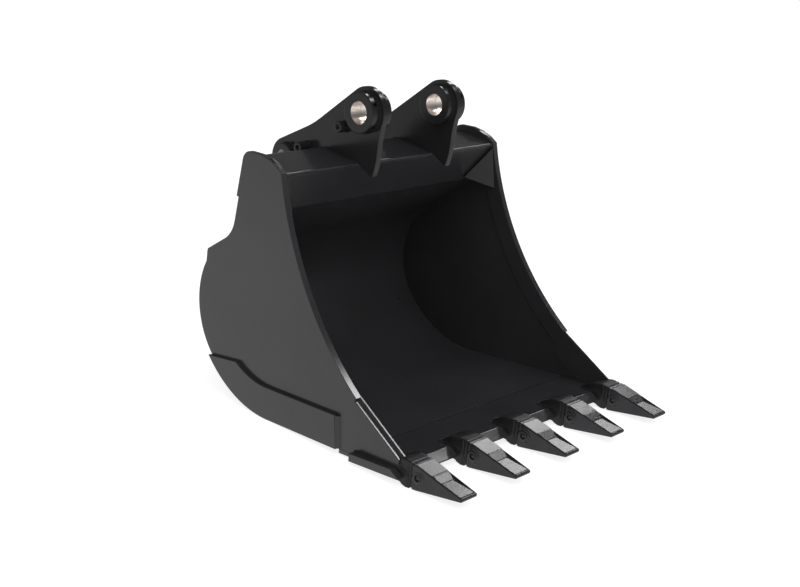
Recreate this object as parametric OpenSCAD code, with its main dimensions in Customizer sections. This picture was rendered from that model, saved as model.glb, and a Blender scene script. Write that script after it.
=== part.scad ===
// Excavator digging bucket.
// X runs across the bucket, Y runs from the teeth to the back, and Z is up.
// The origin is the middle of the stick pin's axis, and the bucket stands at z = floor_z.

/* [Shell] */
// Outside half width of the shell at the kink of its side edge
shell_half_w = 592; // [560:1:620]
// How far each side leans in towards the back, in degrees
side_lean = 1.72; // [1:0.01:2]
// Thickness of a side plate
side_t = 20; // [16:1:22]
// Thickness of the curved wrapper
wrap_t = 18; // [14:1:20]
// Outside radius of the wrapper's heel
heel_r = 460; // [455:1:465]
// Outside radius of the wrapper's back
back_r = 290; // [285:1:295]
// Slope of the wrapper's floor towards the lip, in degrees
floor_slope = 3; // [2.5:0.1:3.5]

/* [Side edges] */
// Thickness of the edge bars and the side blades
edge_t = 25; // [22:1:28]
// Width of an edge bar
edge_w = 70; // [60:1:80]
// Width of a side blade
blade_w = 110; // [100:1:120]
// Height of the heel wear plates above the shell's outline
wear_h = 125; // [110:1:135]
// Thickness of the heel wear plates
wear_t = 16; // [12:1:20]

/* [Lip and teeth] */
// Thickness of the lip plate
lip_t = 30; // [26:1:32]
// Half length of the lip plate
lip_half_w = 622; // [618:1:630]
// Number of teeth
tooth_count = 5; // [5:1:5]
// Distance from one tooth to the next
tooth_pitch = 275; // [265:1:280]
// Width of a tooth at its socket
tooth_w = 86; // [82:1:90]
// Width of a tooth at its tip
tip_w = 78; // [70:1:80]
// Width of an adapter's base on the lip
adapter_w = 104; // [96:1:112]
// Radius of a tooth's lock pin
lock_pin_r = 11; // [9:0.5:12]

/* [Hitch] */
// Radius of the finished pin bores
pin_r = 40; // [38:0.5:42]
// Outside radius of the bushes
bush_r = 50; // [48:0.5:52]
// Distance from the middle to the centre plane of an ear
ear_x = 197; // [192:1:202]
// Thickness of an ear plate
ear_t = 25; // [22:1:28]
// Half of the gap between the inside bosses at the stick pin
stick_gap = 151; // [148:1:155]
// Half of the length over the outside bosses at the stick pin
stick_end = 247; // [242:1:252]
// Half of the gap between the inside bosses at the link pin
link_gap = 155; // [150:1:158]
// Half of the length over the outside bosses at the link pin
link_end = 240; // [236:1:245]
// Radius of the stick pin's bosses
boss_r = 75; // [70:1:78]
// Radius of the link pin's bosses
link_boss_r = 60; // [56:1:66]
// Radius of the finished link pin bores
link_pin_r = 32; // [30:0.5:36]
// Outside radius of the link pin's bushes
link_bush_r = 42; // [40:0.5:46]
// Radius of the tapped hole in a stop collar
collar_hole_r = 8; // [7:0.5:10]

/* [Hidden] */
$fn = 96;
lap = 1;                               // how far a cutting shape passes a face

floor_z = -1110;
kink = [-408, -878];                   // where a side edge turns from an arc into a straight blade
heel_c = [69, floor_z + heel_r];
join_a = -38.6;                        // direction in which the heel arc runs into the back arc
back_c = heel_c + (heel_r - back_r) * [cos(join_a), sin(join_a)];
back_top_a = 53;                       // where the back arc runs into the straight upper wall
floor_a = -90 - floor_slope;           // where the heel arc runs into the straight floor

lip_slope = 4;
lip_rear = [-415, -1069];              // rear edge of the lip plate's top
lip_front_y = -648;
lip_land = 6;                          // height of the square front edge under the bevel
lip_bevel = 38;                        // length of the bevel on the lip's top
lip_lap = 80;                          // how far the lip runs on under the wrapper

blade_foot_y = -633;                   // front of a side blade where it stands on the lip
edge_c = [-1097, 35];                  // centre of the side edge's arc
edge_r = 1145;                         // radius of the side edge's arc
edge_top = [25, -189];                 // front top corner of a side plate

wall_len = 325;                        // length of the wrapper's straight upper wall

panel_front = [28, -192];              // front edge of the top panel
panel_rear = [216, -167];              // where the top panel starts to bend down
panel_bend_r = 28;
panel_t = 12;
flange_a = 12;                         // lean of the top panel's rear flange
flange_len = 132;
throat_t = 16;
skin_lap = 28;                         // how far the rear skin runs up inside the flange
skin_len = 180;

ledge_in = [330, -486];                // the ledge plate's ends on its upper face
ledge_out = [440, -550];
ledge_t = 14;

link_pin = [410, -241];
ear_head_r = 92;
ear_end_c = [424, -246];               // centre of an ear's rounded rear end
ear_end_r = 81;
stick_collar = [92, -65];
link_collar = [304, -178];
collar_r = 21;
collar_len = 50;

tooth_rear_y = -682;
tooth_tip_y = -899;
tooth_top_z = -1017;
tooth_bottom_z = -1109;
tip_top_z = -1066;
tip_bottom_z = -1078;
tooth_wall = 13;                       // thickness of a tooth's side walls
ramp_y = -775;                         // where a tooth's scoop starts
scoop_y = [-800, -889];                // rear and front of the scoop's floor
scoop_depth = [9, 1.2];                // depth of the scoop at both
scoop_rim = 6;                         // width of the rims beside the scoop
tooth_fall_y = tooth_rear_y - 18;      // where a tooth's top starts to fall
lock_pin = [-709, -1061];
nose_gap = 0.5;                        // clearance between an adapter's nose and its tooth
tooth_xs = [for (i = [0 : tooth_count - 1]) (i - (tooth_count - 1) / 2) * tooth_pitch];

blade_foot = [blade_foot_y, -1014];
blade_way = (blade_foot - kink) / norm(blade_foot - kink);
blade_in = [-blade_way[1], blade_way[0]];

wall_dir = [-sin(back_top_a), cos(back_top_a)];
wall_end = back_c + back_r * [cos(back_top_a), sin(back_top_a)] + wall_dir * wall_len;
throat_foot = wall_end - wrap_t * [cos(back_top_a), sin(back_top_a)];

deck_dir = (panel_front - panel_rear) / norm(panel_front - panel_rear);
deck_down = [-deck_dir[1], deck_dir[0]];
bend_c = panel_rear + deck_down * panel_bend_r;
bend_a = atan2(-deck_down[1], -deck_down[0]);
flange_out = [cos(flange_a), sin(flange_a)];
flange_down = [sin(flange_a), -cos(flange_a)];
flange_top = bend_c + flange_out * panel_bend_r;
flange_foot = flange_top + flange_down * flange_len;
skin_step = flange_foot - flange_out * panel_t;
throat_head = panel_front + deck_down * panel_t;

paint = [0.13, 0.13, 0.14];
paint_light = [0.22, 0.22, 0.24];
cast = [0.30, 0.29, 0.33];
bronze = [0.80, 0.66, 0.55];
steel = [0.55, 0.55, 0.58];

// ---- helpers -----------------------------------------------------------

// Points along an arc about c, from angle a0 to angle a1.
function arc(c, r, a0, a1, n = 16) =
    [for (i = [0 : n]) let (a = a0 + (a1 - a0) * i / n) c + r * [cos(a), sin(a)]];

// Unit vector from p to q, and a vector turned a quarter turn to the left.
function along(p, q) = (q - p) / norm(q - p);
function left_of(v) = [-v[1], v[0]];

// Height of the lip's top plane and of the floor's outside face at a given y.
function lip_top_z(y) = lip_rear[1] + (lip_rear[0] - y) * tan(lip_slope);
function floor_out_z(y) =
    heel_c[1] + heel_r * sin(floor_a) + (heel_c[0] + heel_r * cos(floor_a) - y) * tan(floor_slope);

function lip_bottom_z(y) = lip_top_z(y) - lip_t / cos(lip_slope);
function lip_land_z() = lip_bottom_z(lip_front_y) + lip_land;

// A [y, z] outline carried along X from x0 to x1.
module across(x0, x1) {
    translate([x0, 0, 0]) rotate([90, 0, 90]) linear_extrude(x1 - x0) children();
}

// Puts a piece that is drawn for the right-hand side on the named side.
module on_side(side) {
    if (side == "left") mirror([1, 0, 0]) children();
    else children();
}

// Turns a piece about the kink into the plane of the right-hand side plate.
module side_frame() {
    translate([shell_half_w, kink[0], 0]) rotate([0, 0, side_lean])
        translate([0, -kink[0], 0]) children();
}

// A [y, z] outline in that plane. Depth 0 is the plate's outside face, and
// depth grows towards the inside.
module side_slab(depth0, depth1) {
    side_frame() across(-depth1, -depth0) children();
}

// The space between the two side plates.
module between_sides() {
    lean = tan(side_lean);
    y0 = -700;
    y1 = 600;
    inner = side_t / cos(side_lean);
    w0 = shell_half_w - inner - (y0 - kink[0]) * lean;
    w1 = shell_half_w - inner - (y1 - kink[0]) * lean;
    translate([0, 0, floor_z - 50]) linear_extrude(1300)
        polygon([[-w0, y0], [w0, y0], [w1, y1], [-w1, y1]]);
}

// A straight run of plate from p to q, with its thickness to the left of the way.
module run(p, q, t) {
    n = left_of(along(p, q)) * t;
    polygon([p, q, q + n, p + n]);
}

// A curved run of plate about c, between two angles.
module curved_run(c, r_out, r_in, a0, a1) {
    far = 2 * r_out;
    intersection() {
        difference() {
            translate(c) circle(r_out, $fn = 180);
            translate(c) circle(r_in, $fn = 180);
        }
        polygon(concat([c], arc(c, far, a0, a1, 4)));
    }
}

// ---- outlines ----------------------------------------------------------

// Whole outline of a side, from the front top corner round the back to the lip.
module side_outline() {
    lap_y = lip_rear[0] + lip_lap;
    difference() {
        polygon(concat(
            [edge_top, [60, -166], [100, -151], [142, -142.5]],
            arc([200, -187], 44.5, 90, flange_a, 8),
            [flange_top, flange_foot, skin_step],
            arc([404, -385.5], 124, 192, 239.8, 8),
            arc([432, -562], 12, 60, 0, 4),
            arc(back_c, back_r, 33, join_a, 24),
            arc(heel_c, heel_r, join_a, floor_a, 24),
            [
                [lap_y, floor_out_z(lap_y)],
                [lip_rear[0], floor_out_z(lip_rear[0])],
                lip_rear,
                [blade_foot_y, lip_top_z(blade_foot_y)],
                blade_foot,
                kink,
                kink + [-40, 300],
                edge_top + [-60, 10]
            ]));
        translate(edge_c) circle(edge_r, $fn = 360);
    }
}

// Part of the side's outline that the edge bar fills.
module edge_band() {
    intersection() {
        difference() {
            translate(edge_c) circle(edge_r + edge_w, $fn = 360);
            translate(edge_c) circle(edge_r, $fn = 360);
        }
        polygon([edge_top + [-90, 30], edge_top + [120, 30], [160, -400],
                 kink + blade_in * 90, kink - blade_in * 30]);
    }
}

// Outline of a side blade, standing on the lip.
module blade_outline() {
    heel_y = -501;
    polygon([kink, blade_foot, [blade_foot_y, lip_top_z(blade_foot_y)],
             [heel_y, lip_top_z(heel_y)], kink + blade_in * blade_w]);
}

// Outline of a heel wear plate.
module wear_outline() {
    front_y = lip_rear[0] + lip_lap + 6;
    inner_r = heel_r - wear_h;
    top_start = heel_c + inner_r * [cos(floor_a), sin(floor_a)];
    polygon(concat(
        arc(heel_c, heel_r, -43, floor_a, 20),
        [[front_y, floor_out_z(front_y)],
         [front_y + 8, top_start[1] + (top_start[0] - front_y) * tan(floor_slope)]],
        arc(heel_c, inner_r, floor_a, -60, 14)));
}

// Outline of an ear plate, from its head round the link end to its front tail.
module ear_outline() {
    polygon(concat(
        arc([0, 0], ear_head_r, 205, 55, 24),
        [[275, -85]],
        arc(ear_end_c, ear_end_r, 65, -80, 18),
        [[348, -392], skin_step + flange_down * 84, skin_step, flange_foot],
        arc(bend_c, panel_bend_r, flange_a, bend_a, 6),
        [panel_front, [-26, -222], [-46, -237], [-58, -203], [-67, -165], [-71, -95]]));
}

// One face of the wrapper, depth in from its outside, from the lip to the throat.
function wrapper_face(depth) = concat(
    [[lip_rear[0], floor_out_z(lip_rear[0]) + depth / cos(floor_slope)]],
    arc(heel_c, heel_r - depth, floor_a, join_a, 32),
    arc(back_c, back_r - depth, join_a, back_top_a, 40),
    [wall_end - depth * [cos(back_top_a), sin(back_top_a)]]);

// Section of the wrapper.
module wrapper_outline() {
    inside = wrapper_face(wrap_t);
    polygon(concat(wrapper_face(0), [for (i = [len(inside) - 1 : -1 : 0]) inside[i]]));
}

// ---- shell -------------------------------------------------------------

// A section that fills the whole width between the side plates.
module full_width() {
    intersection() {
        across(-shell_half_w, shell_half_w) children();
        between_sides();
    }
}

module wrapper() {
    color(paint) full_width() wrapper_outline();
}

module side_plate(side) {
    color(paint) on_side(side) side_slab(0, side_t) difference() {
        side_outline();
        edge_band();
        blade_outline();
    }
}

module edge_bar(side) {
    color(paint_light) on_side(side) side_slab(0, edge_t) intersection() {
        side_outline();
        edge_band();
    }
}

// A side blade is ground on its outside face, so that its front edge is thin.
module side_blade(side) {
    grind_w = 34;
    grind_d = 19;
    grind_len = 360;
    color(paint_light) on_side(side) difference() {
        side_slab(0, edge_t) blade_outline();
        side_frame() translate([0, kink[0], kink[1]])
            rotate([atan2(blade_way[1], blade_way[0]), 0, 0])
            translate([0, grind_len - 40, 0]) rotate([90, 0, 0])
            linear_extrude(grind_len)
                polygon([[lap, -lap], [-grind_d, -lap], [-grind_d, 0],
                         [0, grind_w], [lap, grind_w]]);
    }
}

module wear_plate(side) {
    color(paint) on_side(side) side_slab(-wear_t, 0) wear_outline();
}

// The lip has a rabbet at its rear, which the wrapper's front edge lies in.
// Under the rabbet it is only as wide as the shell.
module lip_plate() {
    rear_y = lip_rear[0] + lip_lap;
    bevel_y = lip_front_y + lip_bevel;
    color(paint_light) difference() {
        across(-lip_half_w, lip_half_w) polygon([
            lip_rear,
            [bevel_y, lip_top_z(bevel_y)],
            [lip_front_y, lip_land_z()],
            [lip_front_y, lip_bottom_z(lip_front_y)],
            [rear_y, lip_bottom_z(rear_y)],
            [rear_y, floor_out_z(rear_y)],
            [lip_rear[0], floor_out_z(lip_rear[0])]
        ]);
        for (side = ["left", "right"])
            on_side(side) side_frame() translate([0, lip_rear[0], floor_z - lap])
                cube([lip_half_w - shell_half_w + lip_lap, lip_lap + lap, 2 * lip_t]);
    }
}

// The top panel is one bent plate: a nearly level deck and a rear flange.
module top_panel() {
    color(paint) full_width() union() {
        run(panel_rear, panel_front, panel_t);
        curved_run(bend_c, panel_bend_r, panel_bend_r - panel_t, flange_a, bend_a);
        run(flange_foot, flange_top, panel_t);
    }
}

module throat_plate() {
    back = throat_t * [cos(25), sin(25)];
    color(paint) full_width()
        polygon([throat_foot, wall_end, throat_head + back, throat_head]);
}

module rear_skin() {
    head = skin_step - flange_down * skin_lap;
    color(paint) full_width() difference() {
        run(head + flange_down * skin_len, head, throat_t);
        wrapper_outline();
    }
}

module ledge_plate() {
    color(paint) full_width() difference() {
        run(ledge_out, ledge_in, ledge_t);
        wrapper_outline();
    }
}

// A flat triangular gusset between the throat plate, the deck and a side.
module corner_gusset(side) {
    top = [554, 27, -208];
    side_foot = [555, 1, -371];
    throat_corner = [472, 98, -334];
    face = cross(throat_corner - top, side_foot - top);
    shift = face / norm(face) * 12;
    color(paint_light) on_side(side)
        polyhedron([top, throat_corner, side_foot,
                    top + shift, throat_corner + shift, side_foot + shift],
                   [[0, 1, 2], [5, 4, 3], [0, 3, 4, 1], [1, 4, 5, 2], [2, 5, 3, 0]]);
}

// ---- hitch -------------------------------------------------------------

// A cylinder along X, from x0 to x1, about a [y, z] axis.
module rod(c, r, x0, x1) {
    translate([x0, c[0], c[1]]) rotate([0, 90, 0]) cylinder(h = x1 - x0, r = r);
}

// A ring along X, with a hole right through it.
module ring(c, r_out, r_in, x0, x1) {
    difference() {
        rod(c, r_out, x0, x1);
        rod(c, r_in, x0 - lap, x1 + lap);
    }
}

module ear(side) {
    x0 = ear_x - ear_t / 2;
    x1 = ear_x + ear_t / 2;
    color(paint) on_side(side) difference() {
        across(x0, x1) ear_outline();
        rod([0, 0], bush_r, x0 - lap, x1 + lap);
        rod(link_pin, link_bush_r, x0 - lap, x1 + lap);
    }
}

// The outside stick boss has two cross holes for a pin's lock bolt.
module stick_outer_boss(side) {
    x0 = ear_x + ear_t / 2;
    bolt_r = 9;
    color(paint_light) on_side(side) difference() {
        ring([0, 0], boss_r, bush_r, x0, stick_end);
        for (a = [149, 217])
            translate([(x0 + stick_end) / 2, 0, 0]) rotate([a, 0, 0])
                translate([0, bush_r - 2, 0]) rotate([-90, 0, 0])
                cylinder(h = boss_r, r = bolt_r);
    }
}

module stick_inner_boss(side) {
    color(paint_light) on_side(side)
        ring([0, 0], boss_r, bush_r, stick_gap, ear_x - ear_t / 2);
}

module link_outer_boss(side) {
    color(paint_light) on_side(side)
        ring(link_pin, link_boss_r, link_bush_r, ear_x + ear_t / 2, link_end);
}

module link_inner_boss(side) {
    color(paint_light) on_side(side)
        ring(link_pin, link_boss_r, link_bush_r, link_gap, ear_x - ear_t / 2);
}

module stick_bush(side) {
    color(bronze) on_side(side) ring([0, 0], bush_r, pin_r, stick_gap, stick_end);
}

module link_bush(side) {
    color(bronze) on_side(side) ring(link_pin, link_bush_r, link_pin_r, link_gap, link_end);
}

// A stop collar on an ear's outside face, tapped for a pin's keeper bolt.
module stop_collar(side, c) {
    x0 = ear_x + ear_t / 2;
    color(paint_light) on_side(side)
        ring(c, collar_r, collar_hole_r, x0, x0 + collar_len);
}

// ---- teeth -------------------------------------------------------------

// Side profile of an adapter's spine or base. It wraps the lip's front edge.
module adapter_profile(crown) {
    leg_y = -578;
    polygon(concat(crown, [
        [tooth_rear_y + 2, tooth_bottom_z + 2],
        [-664, floor_z],
        [-642, -1103],
        [leg_y, lip_bottom_z(leg_y) - 8],
        [leg_y, lip_bottom_z(leg_y)],
        [lip_front_y, lip_bottom_z(lip_front_y)],
        [lip_front_y, lip_land_z()],
        [lip_front_y + lip_bevel, lip_top_z(lip_front_y + lip_bevel)]
    ]));
}

// Side profile of a tooth's socket, or of the nose in it when gap is more than 0.
module socket_profile(rear_y, gap) {
    polygon([[rear_y, -1032 - gap], [-800 + gap, -1058 - gap],
             [-800 + gap, -1078 + gap], [rear_y, -1096 + gap]]);
}

// The outside adapters are cut away where they meet a side blade.
module adapter(i) {
    spine_w = tooth_w / 2 - 1;
    base_w = adapter_w / 2;
    nose_w = tooth_w / 2 - tooth_wall - nose_gap;
    color(cast) difference() {
        translate([tooth_xs[i - 1], 0, 0]) {
            across(-spine_w, spine_w) adapter_profile([
                [-546, lip_top_z(-546)], [-572, -1041], [-612, -1022],
                [-650, -1014], [tooth_rear_y + 2, tooth_top_z + 2]]);
            across(-base_w, base_w) adapter_profile([
                [-556, lip_top_z(-556)], [-580, -1049], [-640, -1038],
                [-668, -1044], [tooth_rear_y + 10, -1070]]);
            across(-nose_w, nose_w) socket_profile(tooth_rear_y + 2, nose_gap);
        }
        translate([tooth_xs[i - 1], 0, 0]) rod(lock_pin, lock_pin_r, -tooth_w, tooth_w);
        for (side = ["left", "right"])
            on_side(side) side_slab(-edge_t, edge_t) blade_outline();
    }
}

// Height of a tooth's plain top at a given y.
function tooth_top(y) = tooth_top_z
    + (tip_top_z - tooth_top_z) * (y - tooth_fall_y) / (tooth_tip_y - tooth_fall_y);

// Side profile of a tooth, with a raised band and a groove at its rear.
module tooth_profile() {
    polygon([
        [tooth_rear_y, tooth_top_z],
        [tooth_rear_y - 14, tooth_top_z - 1.5],
        [tooth_rear_y - 15, tooth_top_z - 4],
        [tooth_rear_y - 18, tooth_top_z - 4],
        [tooth_rear_y - 19, tooth_top(tooth_rear_y - 19)],
        [tooth_tip_y + 3, tooth_top(tooth_tip_y + 3)],
        [tooth_tip_y, tip_top_z - 3],
        [tooth_tip_y, tip_bottom_z + 3],
        [tooth_tip_y + 4, tip_bottom_z],
        [tooth_rear_y - 16, tooth_bottom_z],
        [tooth_rear_y, tooth_bottom_z]
    ]);
}

// Side profile of the scoop: a ramp down, then a floor that rises to the tip.
module scoop_profile() {
    polygon([
        [ramp_y, tooth_top(ramp_y)],
        [scoop_y[0], tooth_top(scoop_y[0]) - scoop_depth[0]],
        [scoop_y[1], tooth_top(scoop_y[1]) - scoop_depth[1]],
        [scoop_y[1], tooth_top_z],
        [ramp_y, tooth_top_z]
    ]);
}

module tooth(i) {
    rear = tooth_w / 2;
    tip = tip_w / 2;
    inside = rear - tooth_wall;
    color(cast) translate([tooth_xs[i - 1], 0, 0]) difference() {
        intersection() {
            across(-rear, rear) tooth_profile();
            translate([0, 0, floor_z - 10]) linear_extrude(120)
                polygon([[-rear, tooth_rear_y], [-rear, tooth_rear_y - 40], [-tip, tooth_tip_y],
                         [tip, tooth_tip_y], [rear, tooth_rear_y - 40], [rear, tooth_rear_y]]);
        }
        across(-inside, inside) socket_profile(tooth_rear_y + lap, 0);
        across(scoop_rim - tip, tip - scoop_rim) scoop_profile();
        rod(lock_pin, lock_pin_r, -tooth_w, tooth_w);
    }
}

module lock_pin(i) {
    end = tooth_w / 2 - 2;
    color(steel) translate([tooth_xs[i - 1], 0, 0]) rod(lock_pin, lock_pin_r, -end, end);
}

// A retaining ring round each end of every lock pin.
module pin_retainers() {
    x0 = tooth_w / 2;
    color(cast) for (x = tooth_xs) translate([x, 0, 0]) {
        ring(lock_pin, lock_pin_r + 6, lock_pin_r, x0, x0 + 3);
        ring(lock_pin, lock_pin_r + 6, lock_pin_r, -x0 - 3, -x0);
    }
}

wrapper();
side_plate("left");  // side_plate_left
side_plate("right");  // side_plate_right
edge_bar("left");  // edge_bar_left
edge_bar("right");  // edge_bar_right
side_blade("left");  // side_blade_left
side_blade("right");  // side_blade_right
wear_plate("left");  // wear_plate_left
wear_plate("right");  // wear_plate_right
lip_plate();
top_panel();
throat_plate();
rear_skin();
ledge_plate();
corner_gusset("left");  // corner_gusset_left
corner_gusset("right");  // corner_gusset_right
ear("left");  // ear_left
ear("right");  // ear_right
stick_outer_boss("left");  // stick_outer_boss_left
stick_outer_boss("right");  // stick_outer_boss_right
stick_inner_boss("left");  // stick_inner_boss_left
stick_inner_boss("right");  // stick_inner_boss_right
link_outer_boss("left");  // link_outer_boss_left
link_outer_boss("right");  // link_outer_boss_right
link_inner_boss("left");  // link_inner_boss_left
link_inner_boss("right");  // link_inner_boss_right
stick_bush("left");  // stick_bush_left
stick_bush("right");  // stick_bush_right
link_bush("left");  // link_bush_left
link_bush("right");  // link_bush_right
stop_collar("left", stick_collar);  // stick_collar_left
stop_collar("right", stick_collar);  // stick_collar_right
stop_collar("left", link_collar);  // link_collar_left
stop_collar("right", link_collar);  // link_collar_right
for (i = [1 : tooth_count]) {
    adapter(i);
    tooth(i);
    lock_pin(i);
}
pin_retainers();
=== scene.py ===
"""Visual model of an excavator's digging bucket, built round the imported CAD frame.

Lengths are in millimetres until a mesh is made. X runs across the bucket, Y from
the teeth to the back, and Z is up. The origin is the middle of the stick pin's axis.
"""

import logging
import math
from collections.abc import Callable, Sequence
from dataclasses import dataclass
from enum import Enum

import bmesh
import bpy
import numpy as np
from mathutils import Matrix, Vector
from mathutils.geometry import tessellate_polygon


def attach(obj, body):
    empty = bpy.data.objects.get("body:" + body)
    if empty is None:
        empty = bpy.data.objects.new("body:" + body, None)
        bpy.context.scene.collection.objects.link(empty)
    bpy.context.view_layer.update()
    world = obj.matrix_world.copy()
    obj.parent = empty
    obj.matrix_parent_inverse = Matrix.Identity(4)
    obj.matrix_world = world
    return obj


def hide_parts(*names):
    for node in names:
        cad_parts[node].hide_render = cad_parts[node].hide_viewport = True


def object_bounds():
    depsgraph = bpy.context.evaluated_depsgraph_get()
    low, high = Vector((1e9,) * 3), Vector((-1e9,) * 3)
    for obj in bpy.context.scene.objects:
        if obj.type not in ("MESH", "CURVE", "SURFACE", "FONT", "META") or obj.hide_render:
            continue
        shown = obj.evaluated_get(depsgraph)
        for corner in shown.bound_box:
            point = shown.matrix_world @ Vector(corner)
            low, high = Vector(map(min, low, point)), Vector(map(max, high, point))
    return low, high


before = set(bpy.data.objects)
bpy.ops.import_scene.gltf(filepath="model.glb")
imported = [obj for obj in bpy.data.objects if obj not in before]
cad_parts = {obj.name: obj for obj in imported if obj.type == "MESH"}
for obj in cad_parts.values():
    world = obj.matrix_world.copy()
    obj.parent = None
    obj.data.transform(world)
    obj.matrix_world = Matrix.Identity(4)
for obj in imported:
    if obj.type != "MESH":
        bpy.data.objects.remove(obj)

CAD_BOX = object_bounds()
MM = 0.001
BODY = "root"
SHARP = 38.0

Array = np.ndarray
Place = Callable[[Array], Array]
Colour = tuple[float, float, float]
Spot = tuple[float, float]

log = logging.getLogger("bucket")


class Side(Enum):
    """The two sides of the bucket, with the sign of X on each."""

    LEFT = -1
    RIGHT = 1

    @property
    def word(self) -> str:
        """The side's name as CAD nodes carry it."""
        return self.name.lower()


# ---------------------------------------------------------------- shader maths


class Value:
    """A shader socket that takes part in Python expressions."""

    def __init__(self, graph: "Graph", socket: bpy.types.NodeSocket) -> None:
        """Wraps one output socket of a graph."""
        self.graph = graph
        self.socket = socket

    def _math(self, operation: str, *terms: "Value | float") -> "Value":
        """Adds one Math node over the terms and returns its result."""
        made = self.graph.node(
            "ShaderNodeMath", {"operation": operation}, dict(enumerate(terms))
        )
        return made[0]

    def __add__(self, other: "Value | float") -> "Value":
        """self + other."""
        return self._math("ADD", self, other)

    def __radd__(self, other: float) -> "Value":
        """other + self."""
        return self._math("ADD", other, self)

    def __sub__(self, other: "Value | float") -> "Value":
        """self - other."""
        return self._math("SUBTRACT", self, other)

    def __rsub__(self, other: float) -> "Value":
        """other - self."""
        return self._math("SUBTRACT", other, self)

    def __mul__(self, other: "Value | float") -> "Value":
        """self * other."""
        return self._math("MULTIPLY", self, other)

    def __rmul__(self, other: float) -> "Value":
        """other * self."""
        return self._math("MULTIPLY", other, self)

    def above(self, low: float, high: float) -> "Value":
        """0 under low and 1 over high, smooth between them.

        Args:
            low: value where the result leaves 0.
            high: value where the result reaches 1.

        Returns:
            The eased value.
        """
        made = self.graph.node(
            "ShaderNodeMapRange",
            {"interpolation_type": "SMOOTHSTEP"},
            {"Value": self, "From Min": low, "From Max": high},
        )
        return made["Result"]


class Outputs:
    """The outputs of one node, by name or by place."""

    def __init__(self, graph: "Graph", node: bpy.types.Node) -> None:
        """Keeps the node whose outputs are asked for."""
        self.graph = graph
        self.node = node

    def __getitem__(self, key: str | int) -> Value:
        """One output as a Value."""
        return Value(self.graph, self.node.outputs[key])


class Graph:
    """A node tree with one way of adding nodes."""

    def __init__(self, tree: bpy.types.NodeTree) -> None:
        """Starts on an emptied tree."""
        self.tree = tree
        tree.nodes.clear()

    def node(
        self,
        kind: str,
        settings: dict[str, object] | None = None,
        inputs: dict[str | int, object] | None = None,
    ) -> Outputs:
        """Adds a node of any type.

        Args:
            kind: Blender's name for the node type.
            settings: properties of the node, set before its sockets.
            inputs: socket values or links, by name or place.

        Returns:
            The node's outputs.
        """
        made = self.tree.nodes.new(kind)
        for key, setting in (settings or {}).items():
            setattr(made, key, setting)
        for key, term in (inputs or {}).items():
            if isinstance(term, Value):
                self.tree.links.new(term.socket, made.inputs[key])
            else:
                made.inputs[key].default_value = term
        return Outputs(self, made)

    def noise(self, vector: Value, scale: float, detail: float = 3.0) -> Value:
        """Fractal noise of about 0 to 1 at a scale in features per metre."""
        made = self.node(
            "ShaderNodeTexNoise",
            {"noise_dimensions": "3D"},
            {"Vector": vector, "Scale": scale, "Detail": detail},
        )
        return made["Factor" if "Factor" in made.node.outputs else "Fac"]

    def blend(self, factor: Value, low: Colour, high: Colour) -> Value:
        """Mixes two colours, low at 0 and high at 1."""
        ends = {0: factor, 6: (*low, 1.0), 7: (*high, 1.0)}
        return self.node("ShaderNodeMix", {"data_type": "RGBA"}, ends)[2]

    def bump(self, height: Value, depth_mm: float, strength: float) -> Value:
        """A normal bent by a height of 0 to 1, depth_mm high."""
        made = self.node(
            "ShaderNodeBump",
            None,
            {"Strength": strength, "Distance": depth_mm * MM, "Height": height},
        )
        return made["Normal"]


# ---------------------------------------------------------------- finishes


@dataclass(frozen=True)
class Finish:
    """What every finish has: a name and a way to become a material."""

    name: str

    def make(self) -> bpy.types.Material:
        """Builds the material."""
        material = bpy.data.materials.new(self.name)
        material.use_nodes = True
        graph = Graph(material.node_tree)
        place = graph.node("ShaderNodeTexCoord")["Object"]
        surface = graph.node("ShaderNodeBsdfPrincipled", None, self.sockets(graph, place))
        graph.node("ShaderNodeOutputMaterial", None, {"Surface": surface["BSDF"]})
        return material

    def sockets(self, graph: Graph, place: Value) -> dict[str, object]:
        """What the finish puts in the surface shader's sockets."""
        raise NotImplementedError


@dataclass(frozen=True)
class Paint(Finish):
    """Dark sprayed enamel: slow drifts of tone and a fine orange peel."""

    colour: Colour
    haze: Colour
    roughness: float = 0.3
    gloss: float = 0.5
    peel_mm: float = 0.05
    peel_scale: float = 220.0

    def sockets(self, graph: Graph, place: Value) -> dict[str, object]:
        """Tone drifts with slow noise, and the peel is fine noise in the bump."""
        drift = graph.noise(place, 3.0, 4.0)
        grime = graph.noise(place, 26.0, 5.0)
        peel = graph.noise(place, self.peel_scale, 2.0)
        tone = drift.above(0.35, 0.7) * 0.7 + grime.above(0.5, 0.8) * 0.3
        return {
            "Base Color": graph.blend(tone, self.colour, self.haze),
            "Roughness": self.roughness + (grime - 0.5) * 0.1,
            "Specular IOR Level": self.gloss,
            "Normal": graph.bump(peel, self.peel_mm, 0.35),
        }


@dataclass(frozen=True)
class PaintedCasting(Finish):
    """Enamel over a sand-cast skin: pits and lumps show through the paint."""

    colour: Colour
    haze: Colour
    roughness: float = 0.36
    gloss: float = 0.3
    skin_mm: float = 0.45

    def sockets(self, graph: Graph, place: Value) -> dict[str, object]:
        """Lumps of a few millimetres and a finer grain feed the bump."""
        lumps = graph.noise(place, 90.0, 3.0)
        grain = graph.noise(place, 420.0, 3.0)
        drift = graph.noise(place, 14.0, 4.0)
        pits = graph.noise(place, 150.0, 1.0).above(0.62, 0.74)
        skin = lumps * 0.6 + grain * 0.4 - pits * 0.35
        return {
            "Base Color": graph.blend(drift.above(0.35, 0.75), self.colour, self.haze),
            "Roughness": self.roughness + (grain - 0.5) * 0.2,
            "Specular IOR Level": self.gloss,
            "Normal": graph.bump(skin, self.skin_mm, 0.5),
        }


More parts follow.
